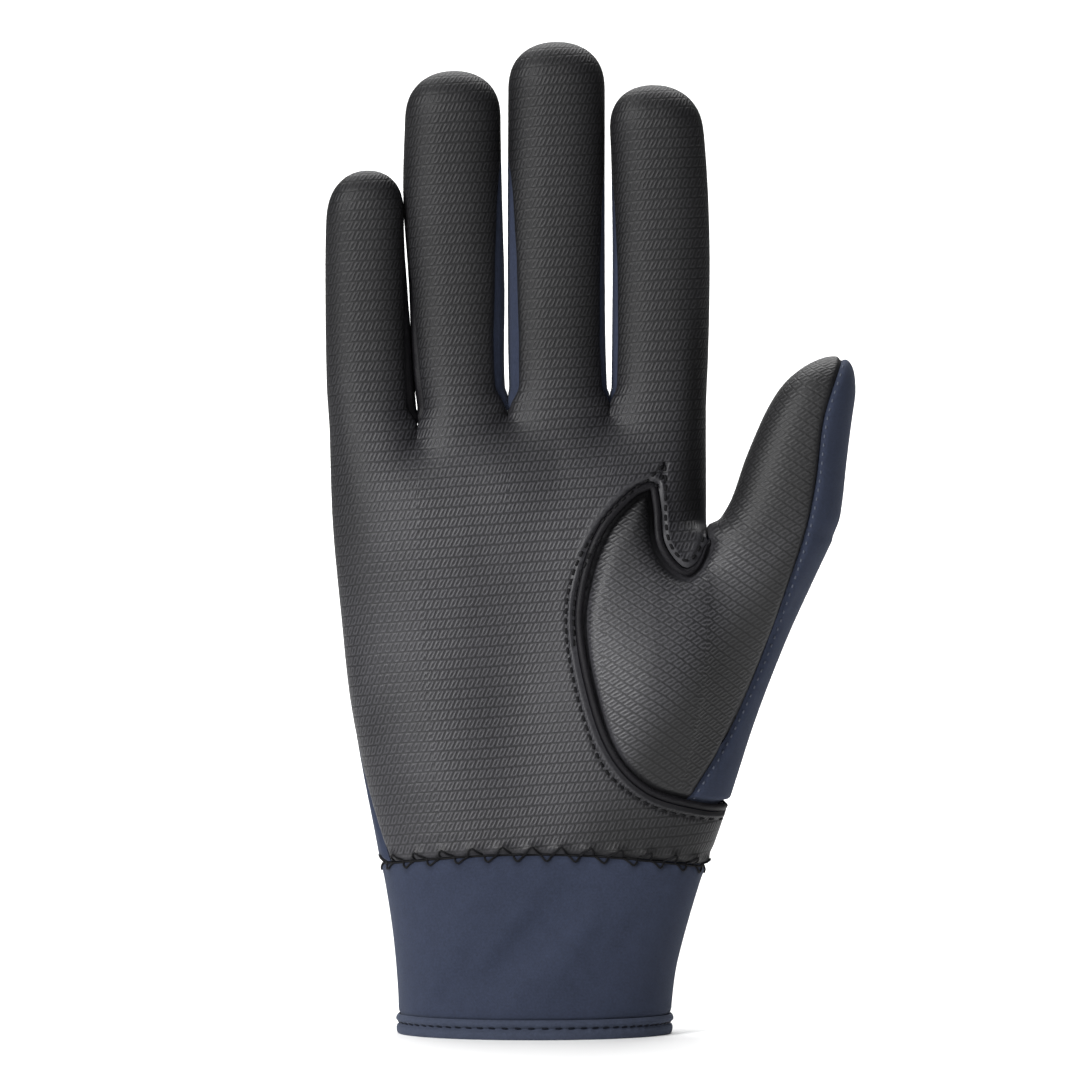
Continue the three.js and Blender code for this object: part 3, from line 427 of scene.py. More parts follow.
def relief(x, y, z):
    """The swellings of the palm side and the folds of the cuff, laid over the plain form."""
    face = np.where(y < 0, -1, 1)
    on_palm = smooth(2 * np.abs(y) / PALM_DEPTH) * (face < 0)
    on_cuff = smooth(2 * np.abs(y) / WRIST_DEPTH) * smooth((z - HEM_HEIGHT) / HEM_HEIGHT)
    lifted = y.copy()
    for across, up, wide, tall, out in SWELLINGS:
        dx = (x - PALM_LEFT) / PALM_WIDTH - across
        dz = z / PALM_HEIGHT - up
        lifted -= out * np.exp(-((dx / wide) ** 2) - (dz / tall) ** 2) * on_palm
    for across, up, lean, long, wide, deep, side in FOLDS:
        dx = x / WRIST_WIDTH - across
        dz = (z / CUFF_HEIGHT - up) * (CUFF_HEIGHT / WRIST_WIDTH)
        length = math.hypot(1, lean)
        aside = (dz - lean * dx) / length / wide
        run = (dx + lean * dz) / length / long
        lifted -= face * FOLD_DEPTH * deep * np.exp(-(aside ** 2) - run ** 2) * on_cuff * (face == side)
    return lifted


# Skin of the hand as fine patches

STEP = 0.85                     # spacing of the skin's points
THUMB_PATCH_SHARE = 1.25        # the thumb is widest above its root
SIDE_PATCH_SHARE = 0.72         # way round a side, as a share of the depth
WEB_ROWS = np.array([0.2, 0.45, 0.75, 1.1, 1.45, 1.8, 2.2])
TIP_ROWS = 20
SPAN_WIDTH = 12
SPAN_HEIGHT = 58
RELAX_ROUNDS = 150
RELAX_SHARE = 0.5
TINY = 1e-6


class Sheet:
    """Points with normals and cloth coordinates, and the faces between them."""

    def __init__(self, points, normals, cloth, loops, sizes):
        self.points = points
        self.normals = normals
        self.cloth = cloth
        self.loops = loops
        self.sizes = sizes

    def compact(self):
        used, loops = np.unique(self.loops, return_inverse=True)
        return Sheet(self.points[used], self.normals[used], self.cloth[used], loops, self.sizes)


def spaced(start, end, step):
    return np.linspace(start, end, max(2, int(round((end - start) / step)) + 1))


def member_rows(crotch, length):
    """Heights above a crotch: even along the shaft, ever closer over the rounded tip."""
    dome_start = crotch + length - TIP_DOME
    near_web = crotch + WEB_RISE * WEB_ROWS
    shaft = spaced(near_web[-1], dome_start, STEP)[1:]
    tip = crotch + length - TIP_DOME * (1 - np.linspace(0, 1, TIP_ROWS)[1:]) ** 2
    return np.concatenate((near_web, shaft, tip))


STEM_ROWS = spaced(0, THUMB_CROTCH_HEIGHT, STEP)
UPPER_ROWS = spaced(THUMB_CROTCH_HEIGHT, LITTLE_CROTCH_HEIGHT, STEP)[1:]
LAST_ROWS = spaced(LITTLE_CROTCH_HEIGHT, PALM_HEIGHT, STEP)[1:]


def column_rows(i):
    if i == THUMB:
        return np.concatenate((STEM_ROWS, member_rows(THUMB_CROTCH_HEIGHT, THUMB_LENGTH)))
    f = FINGERS[i]
    shared = [STEM_ROWS, UPPER_ROWS] + ([LAST_ROWS] if i > 0 else [])
    return np.concatenate((*shared, member_rows(f.crotch, f.length)))


def crease_share(p):
    """One below a crotch, where the leather spans softly from finger to finger, and zero elsewhere."""
    share = np.zeros(len(p))
    for crotch in CROTCHES:
        aside = np.abs(p[:, 0] - line_at(crotch, p[:, 2])) / SPAN_WIDTH
        under = (crotch.height - p[:, 2]) / SPAN_HEIGHT
        fall = smooth(under * 8 - 0.3) * smooth(3 - 3 * under)
        share = np.maximum(share, smooth(1.6 - 1.6 * aside) * fall)
    return share


def relaxed(points, welded, quads):
    """Evens out the creases that run down from the crotches, by moves in depth alone."""
    count = welded.max() + 1
    place = np.zeros((count, 3))
    place[welded] = points
    ends = np.sort(np.concatenate([welded[quads[:, [k, (k + 1) % 4]]] for k in range(4)]), axis=1)
    ends = np.unique(ends, axis=0)
    first, second = ends.T
    neighbours = np.bincount(ends.reshape(-1), minlength=count)
    share = crease_share(place) * RELAX_SHARE
    y = place[:, 1]
    for _ in range(RELAX_ROUNDS):
        total = np.bincount(first, y[second], count) + np.bincount(second, y[first], count)
        y += (total / neighbours - y) * share
    return place[welded]


def arc(x, y):
    steps = np.hypot(np.diff(x, axis=1), np.diff(y, axis=1))
    return np.concatenate((np.zeros((len(x), 1)), np.cumsum(steps, axis=1)), axis=1)


def make_skin():
    """The whole hand's skin, with normals that run on smoothly from patch to patch."""
    points, cloth, quads = [], [], []
    count = 0

    def add(x, y, z, u, v, turned):
        nonlocal count
        rows, columns = x.shape
        grid = np.arange(rows * columns).reshape(rows, columns) + count
        quad = np.stack((grid[:-1, :-1], grid[:-1, 1:], grid[1:, 1:], grid[1:, :-1]), axis=-1)
        quads.append(quad.reshape(-1, 4)[:, ::-1] if turned else quad.reshape(-1, 4))
        points.append(np.stack((x, y, z), axis=-1).reshape(-1, 3))
        cloth.append(np.stack((u, v), axis=-1).reshape(-1, 2))
        count += rows * columns

    for i in range(THUMB + 1):
        rows = column_rows(i)
        z = rows[:, None]
        if i == THUMB:
            top = THUMB_CROTCH_HEIGHT + THUMB_LENGTH
            width, depth = THUMB_BASE_WIDTH * THUMB_PATCH_SHARE, THUMB_DEPTH
        else:
            top = FINGERS[i].crotch + FINGERS[i].length
            width, depth = FINGERS[i].pitch * PALM_WIDTH, FINGERS[i].depth
        share = np.linspace(0, 1, int(round(width / STEP)) + 1)[None, :]
        for face in (-1, 1):
            x, y = column_face(i, face, share, z)
            y = relief(x, y, z)
            middle = x.shape[1] // 2
            run = arc(x, y)
            u = x[:, middle:middle + 1] + run - run[:, middle:middle + 1]
            v_row = summed(np.hypot(np.diff(rows), np.diff(y[:, middle])))
            start = np.searchsorted(rows, top - TIP_DOME)
            v_row = np.where(rows > top - TIP_DOME, rows[start] + v_row - v_row[start], rows)
            v = np.repeat(v_row[:, None], x.shape[1], axis=1)
            add(x, y, np.repeat(z, x.shape[1], axis=1), u, v, face > 0)
            if face < 0:
                front_u = u
        for side in (-1, 1):
            crotch = crotch_beside(i, side)
            kept = rows >= (crotch.height - TINY if crotch else -1)
            deep = PALM_DEPTH if crotch is None else depth
            turn = np.linspace(-1, 1, int(round(deep * SIDE_PATCH_SHARE / STEP)) + 1)[None, :]
            x, y, height = column_side(i, side, turn, z[kept])
            y = relief(x, y, z[kept])
            edge = front_u[kept][:, :1] if side < 0 else front_u[kept][:, -1:]
            v = np.repeat(v_row[kept][:, None], x.shape[1], axis=1)
            add(x, y, height, edge + side * arc(x, y), v, side < 0)

    points = np.concatenate(points)
    quads = np.concatenate(quads)
    _, welded = np.unique(np.round(points, 3), axis=0, return_inverse=True)
    welded = welded.reshape(-1)
    points = relaxed(points, welded, quads)
    diagonals = np.cross(points[quads[:, 2]] - points[quads[:, 0]], points[quads[:, 3]] - points[quads[:, 1]])
    sums = np.zeros((welded.max() + 1, 3))
    for corner in range(4):
        np.add.at(sums, welded[quads[:, corner]], diagonals)
    normals = sums / np.maximum(np.linalg.norm(sums, axis=1, keepdims=True), 1e-12)
    return Sheet(points, normals[welded], np.concatenate(cloth), quads.reshape(-1),
                 np.full(len(quads), 4))


SNAP = 0.05                     # a point this near to a cut lies on it


def cut(sheet, field, level=0.0, keep_below=True):
    """Splits the faces along the line where a field has a level, and drops what lies below it."""
    f = field(sheet.points) - level
    f[np.abs(f) < SNAP] = 0
    starts = summed(sheet.sizes)[:-1]
    low = np.minimum.reduceat(f[sheet.loops], starts)
    high = np.maximum.reduceat(f[sheet.loops], starts)
    crossing = (low < 0) & (high > 0)
    kept = ~crossing & ((high > 0) | keep_below)
    loops = [sheet.loops[np.repeat(kept, sheet.sizes)]]
    sizes = [sheet.sizes[kept]]
    made = {}
    ends, shares = [], []
    new_loops, new_sizes = [], []
    for k in np.flatnonzero(crossing):
        ring = sheet.loops[starts[k]:starts[k] + sheet.sizes[k]].tolist()
        above, below = [], []
        for a, b in zip(ring, ring[1:] + ring[:1]):
            if f[a] >= 0:
                above.append(a)
            if f[a] <= 0:
                below.append(a)
            if f[a] * f[b] < 0:
                key = (min(a, b), max(a, b))
                if key not in made:
                    made[key] = len(sheet.points) + len(ends)
                    ends.append(key)
                    shares.append(f[key[0]] / (f[key[0]] - f[key[1]]))
                above.append(made[key])
                below.append(made[key])
        for part in ([above, below] if keep_below else [above]):
            if len(part) > 2:
                new_loops.extend(part)
                new_sizes.append(len(part))
    points, normals, cloth = sheet.points, sheet.normals, sheet.cloth
    if ends:
        a, b = np.array(ends).T
        t = np.array(shares)[:, None]
        points = np.concatenate((points, mix(points[a], points[b], t)))
        fresh = mix(normals[a], normals[b], t)
        normals = np.concatenate((normals, fresh / np.linalg.norm(fresh, axis=1, keepdims=True)))
        cloth = np.concatenate((cloth, mix(cloth[a], cloth[b], t)))
    loops.append(np.array(new_loops, int))
    sizes.append(np.array(new_sizes, int))
    return Sheet(points, normals, cloth, np.concatenate(loops), np.concatenate(sizes)).compact()


# Seams

CURVE_POINTS = 400


def run_of(line):
    """Length along a line of the front view, at each of its points."""
    return summed(np.hypot(*np.diff(line, axis=0).T))


def points_at(line, lengths):
    run = run_of(line)
    return np.stack((np.interp(lengths, run, line[:, 0]), np.interp(lengths, run, line[:, 1])), axis=1)


def smooth_line(points, step=0.6):
    """A smooth curve through points of a plane, in steps of about the same length."""
    points = np.array(points, float)
    chords = np.sqrt(np.hypot(*np.diff(points, axis=0).T))
    rows = {"place": summed(chords), "x": points[:, 0], "z": points[:, 1]}
    fine = np.linspace(0, rows["place"][-1], CURVE_POINTS)
    curve = np.stack((along(rows, fine, "x"), along(rows, fine, "z")), axis=1)
    length = run_of(curve)
    return points_at(curve, np.linspace(0, length[-1], max(2, int(length[-1] / step))))


def distance_to(line, p):
    """Distance of points from a line of the front view."""
    a, b = p[:, 0], p[:, 2]
    best = np.full(len(a), np.inf)
    for (x1, z1), (x2, z2) in zip(line[:-1], line[1:]):
        dx, dz = x2 - x1, z2 - z1
        t = np.clip(((a - x1) * dx + (b - z1) * dz) / (dx * dx + dz * dz), 0, 1)
        best = np.minimum(best, (a - x1 - t * dx) ** 2 + (b - z1 - t * dz) ** 2)
    return np.sqrt(best)


def inside(outline, p):
    a, b = p[:, 0], p[:, 2]
    result = np.zeros(len(a), bool)
    for (x1, z1), (x2, z2) in zip(outline, np.roll(outline, -1, axis=0)):
        if z1 != z2:
            result ^= ((z1 > b) != (z2 > b)) & (a < (x2 - x1) * (b - z1) / (z2 - z1) + x1)
    return result


def signed_distance(line, corners, p):
    """Distance from a line, positive on the side that the corners close off."""
    region = np.concatenate((line, corners))
    return np.where(inside(region, p), 1, -1) * distance_to(line, p)


FAR = 500
PARTING = PALM_RIGHT + 0.54
INDEX_CLEARANCE = 6
SIDE_BLEND = 0.8                # half the depth over which the front line gives way to the rear one
HOLE_EDGE = [
    (1, 0), (0.816, 0.01), (0.471, 0.06), (0.235, 0.17), (0.088, 0.345), (0, 0.579),
    (0.058, 0.757), (0.17, 0.879), (0.354, 0.974), (0.465, 1),
]
TONGUE_EDGE = [
    (0.465, 1), (0.487, 0.93), (0.5, 0.84), (0.556, 0.783), (0.643, 0.738),
    (0.72, 0.726), (0.795, 0.751), (0.836, 0.79), (0.871, 0.837),
]
THUMB_SEAM = [
    (1.14, 1.2), (1.065, 0.975), (0.921, 0.657), (0.863, 0.331), (0.784, 0.06), (0.661, -0.213),
    (0.5, -0.539), (0.301, -0.866), (0.099, -1.137), (-0.12, -1.37), (-0.3, -1.6),
]


def hole_point(across, up):
    return (PARTING + HOLE_WIDTH * (across - TONGUE_EDGE[-1][0]),
            THUMB_CROTCH_HEIGHT + HOLE_HEIGHT * (up - TONGUE_EDGE[-1][1]))


def thumb_edge(line):
    """A line from the thumb's outer side to the crotch, with its stretch beside the index finger."""
    clear = PALM_RIGHT + INDEX_CLEARANCE
    return np.concatenate((
        [(line[0][0] + FAR, line[0][1])], line,
        [(PARTING, THUMB_CROTCH_HEIGHT + 2 * WEB_RISE),
         (clear, THUMB_CROTCH_HEIGHT + THUMB_LENGTH / 2), (clear, FAR)],
    ))


HOLE_LEFT = smooth_line([hole_point(*p) for p in HOLE_EDGE])
HOLE_TONGUE = smooth_line([hole_point(*p) for p in TONGUE_EDGE])
HOLE_LINE = np.concatenate((HOLE_LEFT, HOLE_TONGUE[1:]))
HOLE_BOTTOM = HOLE_LINE[0]
BEND = (PALM_RIGHT - HOLE_WIDTH * 0.8, mix(HOLE_BOTTOM[1], THUMB_CROTCH_HEIGHT, 0.55))
BACK_SHARE = np.linspace(0, 1, 24)[:, None]
BACK_LINE = ((1 - BACK_SHARE) ** 2 * HOLE_BOTTOM + 2 * BACK_SHARE * (1 - BACK_SHARE) * np.array(BEND)
             + BACK_SHARE ** 2 * np.array((PARTING, THUMB_CROTCH_HEIGHT)))
FRONT_EDGE = thumb_edge(HOLE_LINE)
REAR_EDGE = thumb_edge(BACK_LINE)
THUMB_CORNER = [(FAR * 2, FAR), (FAR * 2, HOLE_BOTTOM[1])]


def thumb_field(p):
    front = signed_distance(FRONT_EDGE, THUMB_CORNER, p)
    rear = signed_distance(REAR_EDGE, THUMB_CORNER, p)
    return mix(front, rear, smooth((p[:, 1] + SIDE_BLEND) / (2 * SIDE_BLEND)))


SAG_HALF_WIDTH = WRIST_WIDTH * 0.62
SAG_LIMIT = 1.4


def cuff_seam(x):
    return CUFF_HEIGHT - CUFF_SEAM_SAG * np.minimum(SAG_LIMIT, (x / SAG_HALF_WIDTH) ** 2)


def cuff_field(p):
    return p[:, 2] - cuff_seam(p[:, 0])


SIDE_SEAM_ROWS = {  # rises, and shares of the way from the back seam to the front
    -1: ([-0.5, 0.27, 0.43, 0.55, 0.7, 2], [1, 1, 0.5, 0.25, 0, 0]),
    1: ([-0.5, 0.4, 0.6, 2], [0.17, 0.17, 0, 0]),
}


def palm_field(p):
    forward = np.zeros(len(p))
    for side, (rise, share) in SIDE_SEAM_ROWS.items():
        here = p[:, 0] * side > 0
        forward[here] = np.interp(p[here, 2] / PALM_HEIGHT, rise, share)
    return BACK_SEAM - forward * (BACK_SEAM + SIDE_SEAM_FRONT) - p[:, 1]


def strip_top(i):
    return min(FINGERS[k].crotch + FINGERS[k].length for k in (i, i + 1)) - STRIP_TIP_MARGIN


def strip_field(i):
    crotch = CROTCHES[i]
    top = strip_top(i)
    bottom = crotch.height - WEB_RISE / 2
    half_depth = STRIP_HALF_DEPTH * (1 if i == 1 else STRIP_SHARE)

    def field(p):
        rise = (p[:, 2] - bottom) / (top - bottom)
        curl = -FINGER_CURL * ((p[:, 2] - crotch.height) / RING_LENGTH) ** 2 * np.clip(rise * 4, 0, 1)
        wide = np.interp(rise, [0, 0.3, 0.6, 0.85, 1], [1, 1, 0.86, 0.6, 0.3])
        depth = half_depth * wide - np.abs(p[:, 1] - curl)
        reach = WEB_HALF_DEPTH * 0.9 - np.abs(p[:, 0] - crotch.across)
        return np.minimum.reduce((depth, reach, p[:, 2] - bottom, top - p[:, 2]))

    return field


STRIP_NAMES = ("little_ring", "ring_middle", "middle_index")
STRIPS = [strip_field(i) for i in range(len(STRIP_NAMES))]
STRIP_TOPS = [(CROTCHES[i].across, strip_top(i)) for i in range(len(STRIP_NAMES))]
SHALLOW_PLACES = [*STRIP_TOPS, (PALM_RIGHT + 1, THUMB_CROTCH_HEIGHT + 4)]
SHALLOW_RISE = 5
SHALLOW_WIDTH = 3


def seam_depth(p):
    """Seams grow shallow towards the upper ends of the finger strips and above the thumb's crotch."""
    share = np.ones(len(p))
    for across, top in SHALLOW_PLACES:
        aside = np.abs(p[:, 0] - across) / SHALLOW_WIDTH
        share = np.minimum(share, 1 - bell(p[:, 2] - top, SHALLOW_RISE) * smooth(3 - aside))
    return share


THUMB_MIDDLE = -THUMB_FORWARD * 0.7
SEAM_POINTS = [(PALM_RIGHT + across * THUMB_BASE_WIDTH, THUMB_CROTCH_HEIGHT + rise * THUMB_LENGTH)
               for across, rise in THUMB_SEAM]
THUMB_SEAM_LINE = smooth_line(SEAM_POINTS)
WRAP_HEIGHTS = THUMB_CROTCH_HEIGHT + THUMB_LENGTH * np.array([1.2, 1, 0.8, 0.5, 0.2, 0, -0.4])
WRAP_LINE = np.stack((
    thumb_section(np.minimum(WRAP_HEIGHTS, THUMB_CROTCH_HEIGHT + THUMB_LENGTH)).centre, WRAP_HEIGHTS,
), axis=1)


def left_of(line):
    return [(-FAR, line[-1][1]), (-FAR, line[0][1])]


def leather_field(p):
    seam = signed_distance(THUMB_SEAM_LINE, left_of(THUMB_SEAM_LINE), p)
    wrap = signed_distance(WRAP_LINE, left_of(WRAP_LINE), p)
    return np.maximum(np.minimum(seam, THUMB_MIDDLE - p[:, 1]),
                      np.minimum(wrap, THUMB_MIDDLE + BACK_SEAM - p[:, 1]))


def opposite(field, offset=0.0):
    return lambda p: -field(p) - offset


# Way round the cuff

PUCKER = 6.6
HEM_PITCH = 2.8
ZIGZAG_HEIGHT = 1.65
ZIGZAG_START = 0.45
CUFF_POINTS = 721


def cuff_turns(section):
    """Angle and length along the cuff's outline, from the middle of its back round to the same place."""
    turn = np.linspace(-np.pi, np.pi, CUFF_POINTS)
    x = section.half * np.sign(np.sin(turn)) * np.abs(np.sin(turn)) ** (2 / section.power)
    depth = np.where(np.cos(turn) > 0, section.front, section.back)
    y = -depth * np.sign(np.cos(turn)) * np.abs(np.cos(turn)) ** (2 / section.power)
    length = summed(np.hypot(np.diff(x), np.diff(y)))
    angle = np.arctan2(x, -y)
    angle[0], angle[-1] = -np.pi, np.pi
    middle = np.interp(0, angle, length)
    return angle, length - middle


CUFF_SECTION = whole_section(CUFF_HEIGHT)
CUFF_MIDDLE = float(CUFF_SECTION.centre)
CUFF_ANGLES, CUFF_LENGTHS = cuff_turns(CUFF_SECTION)
CUFF_ROUND = CUFF_LENGTHS[-1] - CUFF_LENGTHS[0]
ZIGZAGS = round(CUFF_ROUND / PUCKER)
HEM_STITCHES = round(CUFF_ROUND / HEM_PITCH)


def round_the_cuff(p):
    """Share of the way round the cuff, from the middle of its front."""
    angle = np.arctan2(p[:, 0] - CUFF_MIDDLE, -p[:, 1])
    return np.interp(angle, CUFF_ANGLES, CUFF_LENGTHS) / CUFF_ROUND


def zigzag_wave(share):
    return np.cos(math.tau * (share * ZIGZAGS + ZIGZAG_START))


# Lines of stitches round the thumb hole, as shares of the hole

OUTER_STITCHES = smooth_line([hole_point(*p) for p in [
    (1.05, -0.047), (0.8, -0.041), (0.45, 0.005), (0.16, 0.112), (0, 0.29), (-0.075, 0.43), (-0.107, 0.53),
    (-0.108, 0.63), (-0.082, 0.7), (-0.015, 0.79), (0.094, 0.87), (0.205, 0.935), (0.335, 0.992),
    (0.45, 1.032), (0.565, 1.082),
]])
INNER_STITCHES = smooth_line([hole_point(*p) for p in [
    (-0.058, 0.5), (-0.06, 0.62), (-0.035, 0.69), (0.03, 0.775), (0.13, 0.852), (0.25, 0.918),
    (0.37, 0.965), (0.47, 0.995), (0.545, 1.04), (0.565, 1.082),
]])
TONGUE_STITCHES = smooth_line([hole_point(*p) for p in [
    (0.565, 1.082), (0.567, 1.03), (0.566, 0.97), (0.568, 0.9), (0.585, 0.845), (0.625, 0.805),
    (0.69, 0.776), (0.75, 0.782), (0.8, 0.82), (0.835, 0.87),
]])
SLIT = smooth_line([hole_point(*p) for p in [(0.465, 1), (0.52, 1.03), (0.565, 1.082)]])


# Making of the panels

CLOTH_UNIT = 100                # millimetres of cloth in one unit of its coordinates
DOUBLES_DISTANCE = 2e-6
SMOOTH_ANGLE = 55
DIVE = (0.85, 0.75)             # depth and width of a panel's turn down into its seams
NO_DIVE = (0.0, 1.0)
DIVE_ROWS = (0.45, 0.95, 1.7)
TUCK_FALL = 0.25
SEAM_REACH = 9
PANELS = []


def clear_selection():
    for other in bpy.context.selected_objects:
        other.select_set(False)


def pick(piece):
    clear_selection()
    bpy.context.view_layer.objects.active = piece
    piece.select_set(True)


def new_piece(name, points, loops, sizes, material):
    """An object of points in metres and of faces, each a run of loops."""
    mesh = bpy.data.meshes.new(name)
    mesh.vertices.add(len(points))
    mesh.vertices.foreach_set("co", points.astype(np.float32).reshape(-1))
    mesh.loops.add(len(loops))
    mesh.loops.foreach_set("vertex_index", loops.astype(np.int32))
    mesh.polygons.add(len(sizes))
    mesh.polygons.foreach_set("loop_start", summed(sizes)[:-1].astype(np.int32))
    mesh.update(calc_edges=True)
    mesh.materials.append(material)
    piece = bpy.data.objects.new(name, mesh)
    bpy.context.collection.objects.link(piece)
    return piece


def sheet_object(name, sheet, material, heights, attributes, wall):
    """A panel: the sheet raised by its heights, sewn shut at doubles, with a wall's thickness."""
    points = (sheet.points + sheet.normals * heights[:, None]) * MM
    piece = new_piece(name, points, sheet.loops, sheet.sizes, material)
    mesh = piece.data
    layer = mesh.uv_layers.new(name="cloth")
    layer.data.foreach_set("uv", (sheet.cloth[sheet.loops] / CLOTH_UNIT).astype(np.float32).reshape(-1))
    for key, values in attributes.items():
        attribute = mesh.attributes.new(key, "FLOAT", "POINT")
        attribute.data.foreach_set("value", values.astype(np.float32))
    merge = bmesh.new()
    merge.from_mesh(mesh)
    bmesh.ops.remove_doubles(merge, verts=merge.verts, dist=DOUBLES_DISTANCE)
    merge.to_mesh(mesh)
    merge.free()
    pick(piece)
    solid = piece.modifiers.new("wall", "SOLIDIFY")
    solid.thickness = wall * MM
    solid.offset = -1
    bpy.ops.object.modifier_apply(modifier=solid.name)
    bpy.ops.object.shade_smooth_by_angle(angle=math.radians(SMOOTH_ANGLE))
    return piece


def groove(distance, depth, width):
    return -depth * bell(distance, width)


def painted_darkening(p, on_thumb):
    """Painted shade: how much darker the leather's colour is made on the fingers, the heel of the hand and
    the outer sides, where the light falls off.
    """
    x, z = p[:, 0], p[:, 2]
    if on_thumb:
        shaft = 0.88 * ramp(z, 102, 26)
        outer = 0.9 * ramp(x - 0.72 * (z - 90), 34, 12)
        return np.maximum(shaft, outer)
    fingers = 0.8 * ramp(z, 124, 45)
    heel = 0.85 * ramp(x, 2, 20) * ramp(-z, -68, 24)
    outer = 0.55 * ramp(-x, 34, 9) * ramp(z, 92, 26)
    index_side = 0.95 * ramp(x, 30, 7) * ramp(z, 112, 14) * ramp(-z, -200, 40)
    return np.maximum.reduce((fingers, heel, outer, index_side))


def printed_inside(p, edge):
    """The embossing fades out where the leather is drawn down into a seam."""
    return ramp(edge, 0.5, 1.1)


def make_panel(name, borders, material, node, wall, relief_of=None, lines=(), dive=DIVE,
               print_of=printed_inside, tuck=0.0):
    """Cuts a panel out of the skin along its borders, where it turns down into the seams.

    With a tuck it runs on for that width below its neighbour at the first border.
    """
    sheet = SKIN
    for k, field in enumerate(borders):
        sheet = cut(sheet, field, -tuck if tuck and k == 0 else SEAM_GAP / 2, keep_below=False)
        if tuck and k == 0:
            sheet = cut(sheet, field, 0.0)
    for field, levels in [*((field, DIVE_ROWS) for field in borders), *lines]:
        for level in levels:
            sheet = cut(sheet, field, level)
    edge = np.minimum.reduce([field(sheet.points) for field in borders])
    heights = groove(np.maximum(edge, 0), *dive) * seam_depth(sheet.points)
    heights -= TUCK_FALL * np.clip(-edge, 0, 1)
    if relief_of is not None:
        heights = heights + relief_of(sheet.points, edge)
    attributes = {
        "print": print_of(sheet.points, edge),
        # painted shade: share by which the leather's colour is darkened where the light falls off
        "painted_shade": painted_darkening(sheet.points, name.startswith("thumb")),
        "cuff_rise": np.clip(cuff_field(sheet.points), -SEAM_REACH, SEAM_REACH),
        "cuff_round": round_the_cuff(sheet.points),
    }
    piece = sheet_object(name, sheet, material, heights, attributes, wall)
    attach(piece, "root")
    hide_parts(node)
    PANELS.append(piece)


# Finishes

class Finish:
    """A principled material whose nodes are added one by one."""

    def __init__(self, name, **sockets):
        self.material = bpy.data.materials.new(name)
        self.material.use_nodes = True
        self.tree = self.material.node_tree
        self.shader = self.tree.nodes["Principled BSDF"]
        for key, value in sockets.items():
            self.shader.inputs[key.replace("_", " ")].default_value = value

    def node(self, kind, inputs=None, **settings):
        made = self.tree.nodes.new("ShaderNode" + kind)
        for key, value in settings.items():
            setattr(made, key, value)
        for key, value in (inputs or {}).items():
            self.join(value, made.inputs[key])
        return made

    def join(self, value, socket):
        if isinstance(value, bpy.types.NodeSocket):
            self.tree.links.new(value, socket)
        else:
            socket.default_value = value

    def math(self, operation, a, b=0.0, c=0.0, clamp=False):
        return self.node("Math", {0: a, 1: b, 2: c}, operation=operation, use_clamp=clamp).outputs[0]

    def attribute(self, name):
        return self.node("Attribute", attribute_name=name).outputs["Fac"]

    def place(self):
        return self.node("TexCoord").outputs["Object"]

    def cells(self, width, height, tilt=0.0):
        """Place on the cloth, turned by an angle and counted in cells of a size in millimetres."""
        place = self.node("UVMap", uv_map="cloth").outputs[0]
        if tilt:
            turn = {"Vector": place, "Angle": math.radians(tilt)}
            place = self.node("VectorRotate", turn, rotation_type="Z_AXIS").outputs[0]
        count = (CLOTH_UNIT / width, CLOTH_UNIT / height, 1)
        return self.node("VectorMath", {0: place, 1: count}, operation="MULTIPLY").outputs[0]

    def bell(self, value, width):
        """One where the value is zero, falling off to both sides."""
        share = self.math("ABSOLUTE", self.math("DIVIDE", value, width))
        return self.math("POWER", math.e, self.math("MULTIPLY", self.math("POWER", share, 2.0), -1.0))

    def noise(self, vector, scale, detail=3.0, roughness=0.5):
        inputs = {"Vector": vector, "Scale": scale, "Detail": detail, "Roughness": roughness}
        return self.node("TexNoise", inputs).outputs["Fac"]

    def mixed(self, share, a, b):
        made = self.node("Mix", data_type="RGBA")
        self.join(share, made.inputs[0])
        self.join(a, made.inputs[6])
        self.join(b, made.inputs[7])
        return made.outputs[2]

    def mixed_value(self, share, a, b):
        return self.node("Mix", {0: share, 2: a, 3: b}, data_type="FLOAT").outputs[0]

    def ranged(self, value, low, high, to_low=0.0, to_high=1.0):
        inputs = {0: value, 1: low, 2: high, 3: to_low, 4: to_high}
        return self.node("MapRange", inputs, interpolation_type="SMOOTHSTEP").outputs[0]

    def bump(self, height, distance, strength=1.0, normal=None):
        made = self.node("Bump", {"Height": height, "Distance": distance, "Strength": strength})
        if normal is not None:
            self.join(normal, made.inputs["Normal"])
        return made.outputs[0]

    def finish(self, colour=None, rough=None, normal=None):
        for value, key in ((colour, "Base Color"), (rough, "Roughness"), (normal, "Normal")):
            if value is not None:
                self.join(value, self.shader.inputs[key])
        return self.material


LOOP_WOBBLE = 0.12
ROW_SHIFT = 0.17
LOOP_HALF_WIDTH = 0.31
LOOP_LINE = 0.3
STROKE_WIDTH = 0.23
ROW_GAP = 0.1


